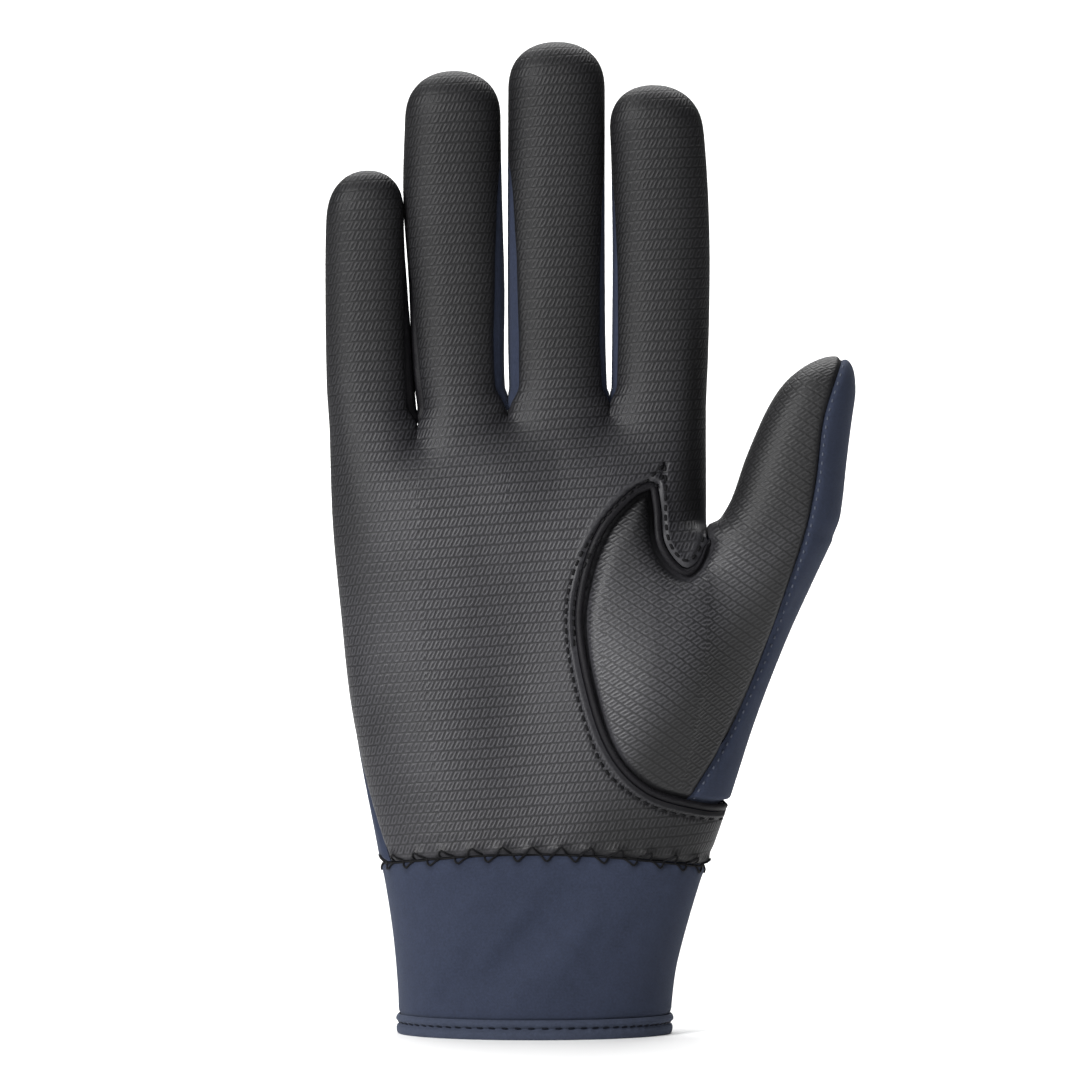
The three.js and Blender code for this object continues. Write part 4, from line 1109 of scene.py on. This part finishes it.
def loops_on(g, cell, tilt, lean):
    """Height of rows of small slanted loops, in shares of their cells on the cloth."""
    cells = g.cells(*cell, tilt)
    drift = g.node("TexNoise", {"Vector": cells, "Scale": 0.4, "Detail": 2.0}).outputs["Color"]
    sway = {0: drift, 1: (LOOP_WOBBLE * 2, LOOP_WOBBLE, 0), 2: cells}
    parts = g.node("SeparateXYZ", {0: g.node("VectorMath", sway, operation="MULTIPLY_ADD").outputs[0]})
    across = g.math("MULTIPLY_ADD", g.math("FLOOR", parts.outputs[1]), ROW_SHIFT, parts.outputs[0])
    x = g.math("SUBTRACT", g.math("FRACT", across), 0.5)
    y = g.math("SUBTRACT", g.math("FRACT", parts.outputs[1]), 0.5)
    x = g.math("WRAP", g.math("MULTIPLY_ADD", y, -lean, x), 0.5, -0.5)
    wide = g.math("POWER", g.math("ABSOLUTE", g.math("DIVIDE", x, LOOP_HALF_WIDTH)), 2.0)
    tall = g.math("POWER", g.math("ABSOLUTE", g.math("DIVIDE", y, 0.5)), 2.0)
    reach = g.math("SQRT", g.math("ADD", wide, tall))
    ring = g.bell(g.math("SUBTRACT", reach, 0.8), LOOP_LINE)
    hooked = g.math("MULTIPLY_ADD", g.math("MULTIPLY", x, y), -7.0, 0.85, clamp=True)
    side = g.math("WRAP", g.math("MULTIPLY_ADD", x, 2.0, 0.5), 0.5, -0.5)
    stroke = g.math("MULTIPLY", g.bell(side, STROKE_WIDTH), 0.85)
    raised = g.math("MAXIMUM", g.math("MULTIPLY", ring, hooked), stroke)
    gap = g.bell(g.math("SUBTRACT", 0.5, g.math("ABSOLUTE", y)), ROW_GAP)
    return g.math("MULTIPLY", raised, g.math("MULTIPLY_ADD", gap, -1.0, 1.0))


def painted_zigzag_shade(g):
    """Painted shade: one where the zigzag thread presses into the leather or cloth beside the cuff's seam,
    where their colour is darkened.
    """
    turn = g.math("MULTIPLY_ADD", g.attribute("cuff_round"), float(ZIGZAGS), ZIGZAG_START)
    wave = g.math("COSINE", g.math("MULTIPLY", turn, math.tau))
    off = g.math("MULTIPLY_ADD", wave, -ZIGZAG_HEIGHT, g.attribute("cuff_rise"))
    return g.bell(off, 1.15)


def grip_leather(name, dark, light, gloss, embossing=None):
    """Leather, plain or embossed with loops of a cell size, a tilt of the rows and a lean."""
    g = Finish(name, Roughness=0.5, Specular_IOR_Level=gloss)
    grain = g.noise(g.place(), 2600, 4.0, 0.6)
    cloud = g.noise(g.place(), 60, 3.0)
    if embossing:
        loops = g.mixed_value(g.attribute("print"), 0.55, loops_on(g, *embossing))
    else:
        loops = g.math("MULTIPLY", grain, 0.35)
    tone = g.math("MULTIPLY_ADD", g.math("SUBTRACT", grain, 0.5), 0.9, g.math("MULTIPLY", loops, 0.75))
    tone = g.math("MULTIPLY_ADD", g.math("SUBTRACT", cloud, 0.5), 0.4, tone, clamp=True)
    colour = g.mixed(tone, dark, light)
    rough = g.ranged(g.math("ADD", g.math("MULTIPLY", loops, -0.3), grain), 0.0, 1.0, 0.4, 0.6)
    normal = g.bump(grain, 0.00006 if embossing else 0.00012, 0.6)
    if embossing:
        # Painted shade beside the cuff's zigzag thread: the colour is mixed towards the dark leather
        colour = g.mixed(g.math("MULTIPLY", painted_zigzag_shade(g), 0.8), colour, dark)
        # Painted shade: the colour is scaled darker on the fingers, heel and outer sides, and the same share
        # makes the leather a little rougher
        painted_dimming = g.math("MULTIPLY_ADD", g.attribute("painted_shade"), -0.84, 1.0)
        colour = g.node("VectorMath", {0: colour, "Scale": painted_dimming}, operation="SCALE").outputs[0]
        rough = g.math("MULTIPLY_ADD", g.attribute("painted_shade"), 0.1, rough)
        normal = g.bump(loops, 0.00016, 0.6, normal)
    return g.finish(colour, rough, normal)


RIB = 0.42
RIB_ROW = RIB * 0.8


def stretch_fabric(name, dark, light):
    g = Finish(name, Roughness=0.85, Specular_IOR_Level=0.2, Sheen_Weight=0.08, Sheen_Roughness=0.5,
               Sheen_Tint=(0.62, 0.7, 0.9, 1))
    parts = g.node("SeparateXYZ", {0: g.cells(RIB, RIB_ROW)})
    across = g.math("SINE", g.math("MULTIPLY", parts.outputs[0], math.tau))
    wale = g.math("MULTIPLY_ADD", across, 0.25, parts.outputs[1])
    rows = g.math("SINE", g.math("MULTIPLY", wale, math.tau))
    knit = g.math("MULTIPLY_ADD", g.math("MULTIPLY", g.math("ABSOLUTE", across), rows), 0.5, 0.5)
    cloud = g.noise(g.place(), 220, 4.0, 0.62)
    fuzz = g.noise(g.place(), 1900, 3.0, 0.6)
    tone = g.math("MULTIPLY_ADD", g.math("SUBTRACT", cloud, 0.5), 0.3, 0.45)
    tone = g.math("MULTIPLY_ADD", g.math("SUBTRACT", fuzz, 0.5), 0.8, tone)
    tone = g.math("MULTIPLY_ADD", g.math("SUBTRACT", knit, 0.5), 0.28, tone, clamp=True)
    colour = g.mixed(tone, dark, light)
    # Painted shade beside the cuff's zigzag thread: the colour is mixed towards the dark navy
    colour = g.mixed(g.math("MULTIPLY", painted_zigzag_shade(g), 0.7), colour, dark)
    normal = g.bump(cloud, 0.0003, 0.2)
    normal = g.bump(fuzz, 0.00008, 0.6, normal)
    normal = g.bump(knit, 0.00006, 0.7, normal)
    return g.finish(colour, g.ranged(fuzz, 0.2, 0.8, 0.78, 0.95), normal)


def thread_finish(name, dark, light):
    g = Finish(name, Roughness=0.8, Specular_IOR_Level=0.12)
    fibre = g.noise(g.place(), 5200, 3.0, 0.7)
    return g.finish(g.mixed(fibre, dark, light), g.ranged(fibre, 0.2, 0.8, 0.45, 0.8),
                    g.bump(fibre, 0.0001, 0.8))


# Dark leather of the embossing's hollows, which is also the colour that the painted shade beside the cuff's
# zigzag thread mixes towards
LEATHER_HOLLOWS_AND_PAINTED_SHADE = (0.006, 0.006, 0.0074, 1)
PALM_LEATHER = grip_leather("grip_leather_palm", LEATHER_HOLLOWS_AND_PAINTED_SHADE, (0.052, 0.0513, 0.0583, 1), 0.3,
                            embossing=((1.95, 2.35), -4, 0.6))
THUMB_LEATHER = grip_leather("grip_leather_thumb", LEATHER_HOLLOWS_AND_PAINTED_SHADE, (0.062, 0.0612, 0.0685, 1), 0.4,
                             embossing=((1.9, 2.3), 34, 0.5))
# Black leather of the thumb hole's turned edge and of the strip between the little and ring fingers, kept
# darker than the palm's leather as painted shade of the hole's groove and of the gap between the fingers
EDGE_LEATHER_WITH_PAINTED_SHADE = grip_leather("leather_turned_edge_with_painted_shade", (0.005, 0.0048, 0.006, 1), (0.021, 0.02, 0.023, 1), 0.12)
NAVY_FABRIC = stretch_fabric("navy_stretch_fabric", (0.008, 0.0107, 0.0205, 1), (0.033, 0.042, 0.074, 1))
HEM_FABRIC = stretch_fabric("navy_hem_fabric", (0.014, 0.0175, 0.029, 1), (0.052, 0.063, 0.099, 1))
BLACK_THREAD = thread_finish("black_thread", (0.0015, 0.0015, 0.002, 1), (0.007, 0.007, 0.008, 1))
NAVY_THREAD = thread_finish("navy_thread", (0.035, 0.042, 0.06, 1), (0.09, 0.1, 0.13, 1))
DARK_THREAD = thread_finish("dark_navy_thread", (0.002, 0.003, 0.006, 1), (0.008, 0.01, 0.018, 1))


# Relief of the panels, in millimetres

ROLL_WIDTH = 1.9
ROLL_END_WIDTH = 0.85
ROLL_HEIGHT = 1.05
ROLL_BED = -0.9
RAISED_STRIP = 4.2              # reach of the raised strip from the thumb hole
RAISED_HEIGHT = 0.42
PUCKER_HEIGHT = 0.42
THUMB_TUCK = 1.8
THUMB_SWELL = 2.6
THUMB_BALL = (34, 88)           # across and up
THUMB_BALL_LEAN = 0.3
STRIP_TUCK = 1.0
STRIP_SWELL = 0.5
STITCH_GROOVES = [              # rows of stitches with the depth and width of their groove
    (OUTER_STITCHES, 0.34, 0.5), (INNER_STITCHES, 0.24, 0.4),
    (TONGUE_STITCHES, 0.3, 0.45), (SLIT, 0.5, 0.45),
]


def in_front(p, start, length):
    """Zero behind a depth, one from a length ahead of it."""
    return ramp(-p[:, 1], start, length)


def hole_end(p):
    """One where the thumb hole runs out below the index finger's outer side."""
    return smooth((p[:, 0] - PALM_RIGHT + 5.5) / 5) * ramp(p[:, 2], 90, 8)


def above_crotch(p):
    return smooth((p[:, 0] - PALM_RIGHT + 3) / 2) * smooth((p[:, 2] - THUMB_CROTCH_HEIGHT + 1.5) / 3)


def roll_gap(p):
    width = mix(ROLL_WIDTH, ROLL_END_WIDTH, hole_end(p)) * (1 - above_crotch(p))
    return width * in_front(p, 2, 1.5)


def palm_relief(p, edge):
    heights = sum(groove(distance_to(line, p), depth, width) for line, depth, width in STITCH_GROOVES)
    heights += RAISED_HEIGHT * smooth((RAISED_STRIP + thumb_field(p)) / 1.2) * (1 - hole_end(p))
    seam = cuff_field(p)
    pucker = zigzag_wave(round_the_cuff(p))
    heights = heights * in_front(p, 2, 2) + PUCKER_HEIGHT * pucker * bell(seam - 1.3, 1.2)
    return heights + groove(seam - 3.2, 0.2, 1.0)


def printed_palm(p, edge):
    """The strip between the thumb hole and its outer row of stitches is pressed flat."""
    pressed = in_front(p, 2, 2) * smooth((3.6 + thumb_field(p)) / 0.8)
    return printed_inside(p, edge) * (1 - 0.85 * pressed)


def thumb_relief(p, edge):
    """The swollen ball of the thumb, drawn down into the seam of the hole."""
    hole = thumb_field(p)
    high = ramp(p[:, 2], 82, 34) * in_front(p, 3, 3) * (1 - 0.6 * hole_end(p))
    sunk = mix(0.9, 2.3, high) * bell(np.maximum(hole, 0), mix(0.85, 2.8, high))
    sunk *= 1 - above_crotch(p)
    up = p[:, 2] - THUMB_BALL[1]
    across = (p[:, 0] - THUMB_BALL[0] - THUMB_BALL_LEAN * up) / 10
    swell = np.exp(-(across ** 2) - (up / 24) ** 2)
    return THUMB_SWELL * swell * in_front(p, 2, 6) - sunk - 0.5 * np.maximum(-hole, 0)


def roll_relief(p, edge):
    across = np.clip(-thumb_field(p) / np.maximum(roll_gap(p), 0.05), 0, 1)
    return ROLL_BED + ROLL_HEIGHT * np.sqrt(np.clip(1 - (2 * across - 1) ** 2, 0, 1))


CUFF_FOLDS = [  # across, up, lean, long, wide, out
    (-7, 24, 52, 17, 2.6, 0.5), (1, 15, 50, 15, 2.2, 0.4), (9, 20, 54, 13, 2.4, 0.5),
    (-22, 14, 62, 12, 2.6, 0.35), (20, 27, 58, 12, 2.8, 0.45), (-13, 33, 44, 10, 2.4, 0.35),
]


def cuff_folds(p):
    """Soft folds that lean across the front of the cuff."""
    out = np.zeros(len(p))
    for across, up, lean, long, wide, height in CUFF_FOLDS:
        way = (math.cos(math.radians(lean)), math.sin(math.radians(lean)))
        dx, dz = p[:, 0] - across, p[:, 2] - up
        run = dx * way[0] + dz * way[1]
        aside = dz * way[0] - dx * way[1]
        out += height * np.exp(-((run / long) ** 2) - (aside / wide) ** 2)
    return out * in_front(p, 2, 8)


def strip_relief(p, edge):
    """The strip beside the little finger stands out and narrows the gap between the fingers."""
    return STRIP_SWELL * ramp(-p[:, 2], -186, 36) * smooth(edge / 1.6)


def cuff_relief(p, edge):
    pucker = zigzag_wave(round_the_cuff(p))
    return cuff_folds(p) - CUFF_INSET - 0.25 * pucker * bell(cuff_field(p), 2.2)


HEM_PROFILE = table("up out", [
    (0, -0.2), (0.35, 0.08), (1.1, 0.2), (1.9, 0.08), (2.5, -0.6),
    (3.05, 0.02), (3.6, 0.3), (4.2, 0.08), (4.8, -0.5),
])
HEM_STITCH_HEIGHT = 2.7


def hem_relief(p, edge):
    out = along(HEM_PROFILE, p[:, 2], "out")
    pucker = np.cos(math.tau * round_the_cuff(p) * HEM_STITCHES)
    return out - 0.12 * pucker * bell(p[:, 2] - 2.6, 0.9)


def hem_top(p):
    return HEM_HEIGHT - p[:, 2]


# Panels

SKIN = make_skin()
STITCH_ROWS = (-0.8, -0.4, 0.0, 0.4, 0.8)
TONGUE_REACH = 9
TONGUE_ROWS = (8.2, 8.6)
ROLL_ROWS = (-0.35, -0.7, -1.0, -1.35, -1.6)
HEM_ROWS = np.arange(0.3, 4.6, 0.3)
HEM_LAP = 0.5


def hole_side(p):
    return -thumb_field(p) - roll_gap(p)


def behind(p):
    """Lifts a field far away on the back of the hand, where the front's rows of stitches don't run."""
    return FAR * smooth(p[:, 1] + 2)


def beside_stitches(p):
    region = [(FAR, OUTER_STITCHES[-1][1]), (FAR, OUTER_STITCHES[0][1])]
    return signed_distance(OUTER_STITCHES, region, p) + behind(p)


def beside_tongue(p):
    return TONGUE_REACH - distance_to(TONGUE_STITCHES, p) - behind(p)


def make_palm_and_back():
    between_fingers = [opposite(strip) for strip in STRIPS]
    make_panel("palm_leather", [cuff_field, palm_field, *between_fingers, hole_side], PALM_LEATHER,
               "palm_panel", LEATHER_WALL, palm_relief,
               [(beside_stitches, STITCH_ROWS), (beside_tongue, TONGUE_ROWS)], print_of=printed_palm)
    make_panel("back_fabric", [cuff_field, opposite(palm_field), *between_fingers, opposite(thumb_field)],
               NAVY_FABRIC, "back_panel", FABRIC_WALL)


def make_finger_strips():
    for strip, name in zip(STRIPS, STRIP_NAMES):
        leather = name == "little_ring"
        make_panel(f"strip_{name}", [strip], EDGE_LEATHER_WITH_PAINTED_SHADE if leather else NAVY_FABRIC,
                   f"fourchette_{name}", FABRIC_WALL,
                   strip_relief if leather else None, tuck=STRIP_TUCK)


def make_thumb():
    make_panel("thumb_leather", [thumb_field, leather_field], THUMB_LEATHER, "thumb_front",
               LEATHER_WALL, thumb_relief, tuck=THUMB_TUCK)
    make_panel("thumb_fabric", [thumb_field, opposite(leather_field)], NAVY_FABRIC, "thumb_back",
               FABRIC_WALL, thumb_relief, tuck=THUMB_TUCK)
    make_panel("thumb_hole_edge", [opposite(thumb_field), opposite(hole_side)], EDGE_LEATHER_WITH_PAINTED_SHADE,
               "thumb_seam_roll", LEATHER_WALL, roll_relief,
               [(thumb_field, ROLL_ROWS)], dive=NO_DIVE)


def make_cuff():
    make_panel("cuff_fabric", [opposite(cuff_field), lambda p: p[:, 2] - HEM_HEIGHT + HEM_LAP],
               NAVY_FABRIC, "cuff", FABRIC_WALL, cuff_relief)
    make_panel("hem_fabric", [hem_top], HEM_FABRIC, "cuff_hem", HEM_WALL, hem_relief,
               [(hem_top, HEM_ROWS)], dive=NO_DIVE)


# Threads

RAY_START = 0.2                 # metres from the glove's middle
GRAZING = 0.1                   # a face that looks further away from the front takes no stitch
BEAD_SIDES = 8
BEAD_END_REACH = 1.25
BEAD_END_DROP = 0.12
BEAD_END_INSET = 0.2
STITCH_PITCH = 2.3
SEAM_STITCH_PITCH = 2.1
SEAM_STITCH_SHIFT = 0.62
ZIGZAG_POINTS = 16              # points of the thread in one zigzag
ZIGZAG_SHARPNESS = 0.96
CORD_SIDES = 6


def panel_surface(names):
    """The outer and inner faces of some panels, for rays that find the place of a stitch."""
    places, faces = [], []
    for piece in PANELS:
        if piece.name in names:
            start = len(places)
            places.extend(v.co.copy() for v in piece.data.vertices)
            faces.extend([start + k for k in face.vertices] for face in piece.data.polygons)
    return BVHTree.FromPolygons(places, faces)


def marks_from_front(surface, line, offset=0.0):
    """Places on a surface before which a line of the front view lies, with their normals."""
    marks = []
    for x, z in line:
        place, normal, _, _ = surface.ray_cast(Vector((x * MM, -RAY_START, z * MM)), Vector((0, 1, 0)))
        if place is not None and normal.y < -GRAZING:
            marks.append((np.array(place) + np.array(normal) * offset * MM, np.array(normal)))
    return marks


def marks_round_cuff(surface, shares, heights, offset=0.0):
    """Places on the cuff at shares of the way round it and at heights above the floor."""
    marks = []
    angles = np.interp(shares * CUFF_ROUND, CUFF_LENGTHS, CUFF_ANGLES)
    for angle, height in zip(angles, heights):
        away = Vector((math.sin(angle), -math.cos(angle), 0))
        start = away * RAY_START + Vector((CUFF_MIDDLE * MM, 0, height * MM))
        place, normal, _, _ = surface.ray_cast(start, -away)
        if place is not None:
            marks.append((np.array(place) + np.array(normal) * offset * MM, np.array(normal)))
    return marks


def spread(line, pitch):
    """Points at an even pitch along a line."""
    return points_at(line, np.arange(pitch / 2, run_of(line)[-1], pitch))


def shifted(line, distance):
    """The line moved sideways in its plane."""
    way = np.gradient(line, axis=0)
    way /= np.linalg.norm(way, axis=1, keepdims=True)
    return line + distance * np.stack((-way[:, 1], way[:, 0]), axis=1)


def frames_along(marks):
    places = np.array([place for place, _ in marks])
    normals = np.array([normal for _, normal in marks])
    ways = np.gradient(places, axis=0)
    ways -= normals * np.sum(ways * normals, axis=1, keepdims=True)
    ways /= np.linalg.norm(ways, axis=1, keepdims=True)
    return places, ways, np.cross(normals, ways), normals


def add_thread(name, points, loops, sizes, material):
    piece = new_piece(name, points, loops, sizes, material)
    pick(piece)
    bpy.ops.object.shade_smooth()
    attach(piece, "root")


def stitch_shape(length, width, height):
    """One stitch, a bead of thread that thins towards the needle holes."""
    clear_selection()
    lying = (0, math.radians(90), 0)
    bpy.ops.mesh.primitive_cylinder_add(vertices=BEAD_SIDES, radius=0.5, depth=1, rotation=lying)
    stitch = bpy.context.object
    bpy.ops.object.transform_apply(location=True, rotation=True, scale=True)
    bpy.ops.object.mode_set(mode="EDIT")
    bpy.ops.mesh.select_all(action="DESELECT")
    edit = bmesh.from_edit_mesh(stitch.data)
    for face in edit.faces:
        face.select = abs(face.normal.x) > 0.9
    bmesh.update_edit_mesh(stitch.data)
    bpy.ops.mesh.inset(thickness=BEAD_END_INSET)
    for face in bmesh.from_edit_mesh(stitch.data).faces:
        if face.select:
            for vertex in face.verts:
                vertex.co.x *= BEAD_END_REACH
                vertex.co.z -= BEAD_END_DROP
    bmesh.update_edit_mesh(stitch.data)
    bpy.ops.object.mode_set(mode="OBJECT")
    size = (length / BEAD_END_REACH, width, height)
    places = np.array([vertex.co[:] for vertex in stitch.data.vertices]) * size
    loops = [k for face in stitch.data.polygons for k in face.vertices]
    sizes = [len(face.vertices) for face in stitch.data.polygons]
    bpy.data.objects.remove(stitch)
    return places * MM, np.array(loops), np.array(sizes)


def add_stitches(name, rows, shape, material):
    """Rows of stitches, each a copy of the same bead laid along the cloth."""
    bead, bead_loops, bead_sizes = shape
    places, loops, sizes = [], [], []
    for marks in rows:
        for place, way, side, normal in zip(*frames_along(marks)):
            loops.append(bead_loops + len(places) * len(bead))
            sizes.append(bead_sizes)
            places.append(place + bead @ np.stack((way, side, normal)))
    add_thread(name, np.concatenate(places), np.concatenate(loops), np.concatenate(sizes), material)


def add_cord(name, marks, radius, material):
    """A thread that runs once round and closes on itself."""
    places, _, sides, normals = frames_along(marks)
    turn = np.linspace(0, math.tau, CORD_SIDES + 1)[:-1, None]
    ring = sides[:, None, :] * np.cos(turn) + normals[:, None, :] * np.sin(turn)
    points = (places[:, None, :] + ring * radius * MM).reshape(-1, 3)
    grid = np.arange(len(points)).reshape(len(places), CORD_SIDES)
    after = np.roll(grid, -1, axis=0)
    quads = np.stack((grid, after, np.roll(after, -1, axis=1), np.roll(grid, -1, axis=1)), axis=-1)
    add_thread(name, points, quads.reshape(-1), np.full(grid.size, 4), material)


def add_thumb_threads():
    palm = panel_surface(["palm_leather", "thumb_hole_edge"])
    rows = [marks_from_front(palm, spread(line, STITCH_PITCH), 0.14)
            for line in (OUTER_STITCHES, INNER_STITCHES, TONGUE_STITCHES)]
    add_stitches("thumb_hole_stitches", rows, stitch_shape(1.45, 0.66, 0.5), BLACK_THREAD)
    thumb = panel_surface(["thumb_fabric", "thumb_leather"])
    line = spread(shifted(THUMB_SEAM_LINE, SEAM_STITCH_SHIFT), SEAM_STITCH_PITCH)
    add_stitches("thumb_seam_stitches", [marks_from_front(thumb, line, 0.05)],
                 stitch_shape(0.8, 0.42, 0.4), NAVY_THREAD)


def add_cuff_threads():
    cuff = panel_surface(["palm_leather", "back_fabric", "cuff_fabric"])
    steps = ZIGZAGS * ZIGZAG_POINTS
    shares = np.linspace(-0.5, 0.5, steps, endpoint=False)
    level = marks_round_cuff(cuff, shares, np.full(steps, CUFF_HEIGHT))
    middles = cuff_seam(np.array([place[0] for place, _ in level]) / MM)
    zigzag = np.arcsin(ZIGZAG_SHARPNESS * zigzag_wave(shares)) / math.asin(ZIGZAG_SHARPNESS)
    add_cord("cuff_zigzag", marks_round_cuff(cuff, shares, middles + ZIGZAG_HEIGHT * zigzag, 0.17),
             0.25, BLACK_THREAD)
    add_cord("cuff_seam_thread", marks_round_cuff(cuff, shares, middles - 0.2, 0.05),
             0.3, BLACK_THREAD)
    hem = panel_surface(["hem_fabric"])
    shares = (np.arange(HEM_STITCHES) + 0.5) / HEM_STITCHES - 0.5
    marks = marks_round_cuff(hem, shares, np.full(HEM_STITCHES, HEM_STITCH_HEIGHT))
    add_stitches("hem_stitches", [marks], stitch_shape(1.6, 0.85, 0.5), DARK_THREAD)


# Stage, in metres

FLOOR_SIZE = (1.5, 4, 1)
FLOOR_MIDDLE = 1.6
WALL_HEIGHT = 2.2
BEND_RADIUS = 1.5
GLOVE_MIDDLE = (0, 0, 0.12)
LIGHTS = [      # name, place, aim, size, power
    ("key_softbox", (-1.05, -1.1, 0.65), GLOVE_MIDDLE, (0.5, 0.8), 34),
    ("front_softbox", (-0.1, -1.6, 0.35), GLOVE_MIDDLE, (0.8, 0.6), 7),
    ("top_softbox", (0, 1.2, 2), (0, 1.2, 0), (2.2, 2.6), 84),
    ("back_softbox", (0, 1.3, 1.7), (0, 3.4, 0.5), (2, 0.8), 36),
]
AIR_LIGHT = 0.1


def add_stage():
    clear_selection()
    bpy.ops.mesh.primitive_plane_add(size=1, location=(0, FLOOR_MIDDLE, 0))
    floor = bpy.context.object
    floor.name = "studio_floor"
    pick(floor)
    floor.scale = FLOOR_SIZE
    bpy.ops.object.transform_apply(location=True, rotation=True, scale=True)
    bpy.ops.object.mode_set(mode="EDIT")
    bpy.ops.mesh.select_all(action="DESELECT")
    edit = bmesh.from_edit_mesh(floor.data)
    for edge in edit.edges:
        edge.select = all(v.co.y > FLOOR_MIDDLE for v in edge.verts)
    bmesh.update_edit_mesh(floor.data)
    bpy.ops.mesh.extrude_region_move(TRANSFORM_OT_translate={"value": (0, 0, WALL_HEIGHT)})
    bpy.ops.object.mode_set(mode="OBJECT")
    bend = floor.modifiers.new("bend", "BEVEL")
    bend.width = BEND_RADIUS
    bend.segments = 16
    bpy.ops.object.modifier_apply(modifier=bend.name)
    bpy.ops.object.shade_smooth()
    g = Finish("studio_white", Roughness=0.9, Specular_IOR_Level=0.1)
    shade = g.mixed(g.noise(g.place(), 4.0), (0.93, 0.93, 0.93, 1), (0.96, 0.96, 0.96, 1))
    floor.data.materials.append(g.finish(shade))


def add_lights():
    for name, place, aim, size, power in LIGHTS:
        direction = Vector(aim) - Vector(place)
        turn = direction.to_track_quat("-Z", "Y").to_euler()
        bpy.ops.object.light_add(type="AREA", location=place, rotation=turn)
        lamp = bpy.context.object
        lamp.name = name
        lamp.data.shape = "RECTANGLE"
        lamp.data.size, lamp.data.size_y = size
        lamp.data.energy = power
    world = bpy.data.worlds.new("studio_air")
    world.use_nodes = True
    air = world.node_tree.nodes["Background"].inputs
    air["Color"].default_value = (1, 1, 1, 1)
    air["Strength"].default_value = AIR_LIGHT
    bpy.context.scene.world = world


bpy.context.scene.view_settings.view_transform = "Standard"
add_camera()
make_palm_and_back()
make_finger_strips()
make_thumb()
make_cuff()
add_thumb_threads()
add_cuff_threads()
add_stage()
add_lights()
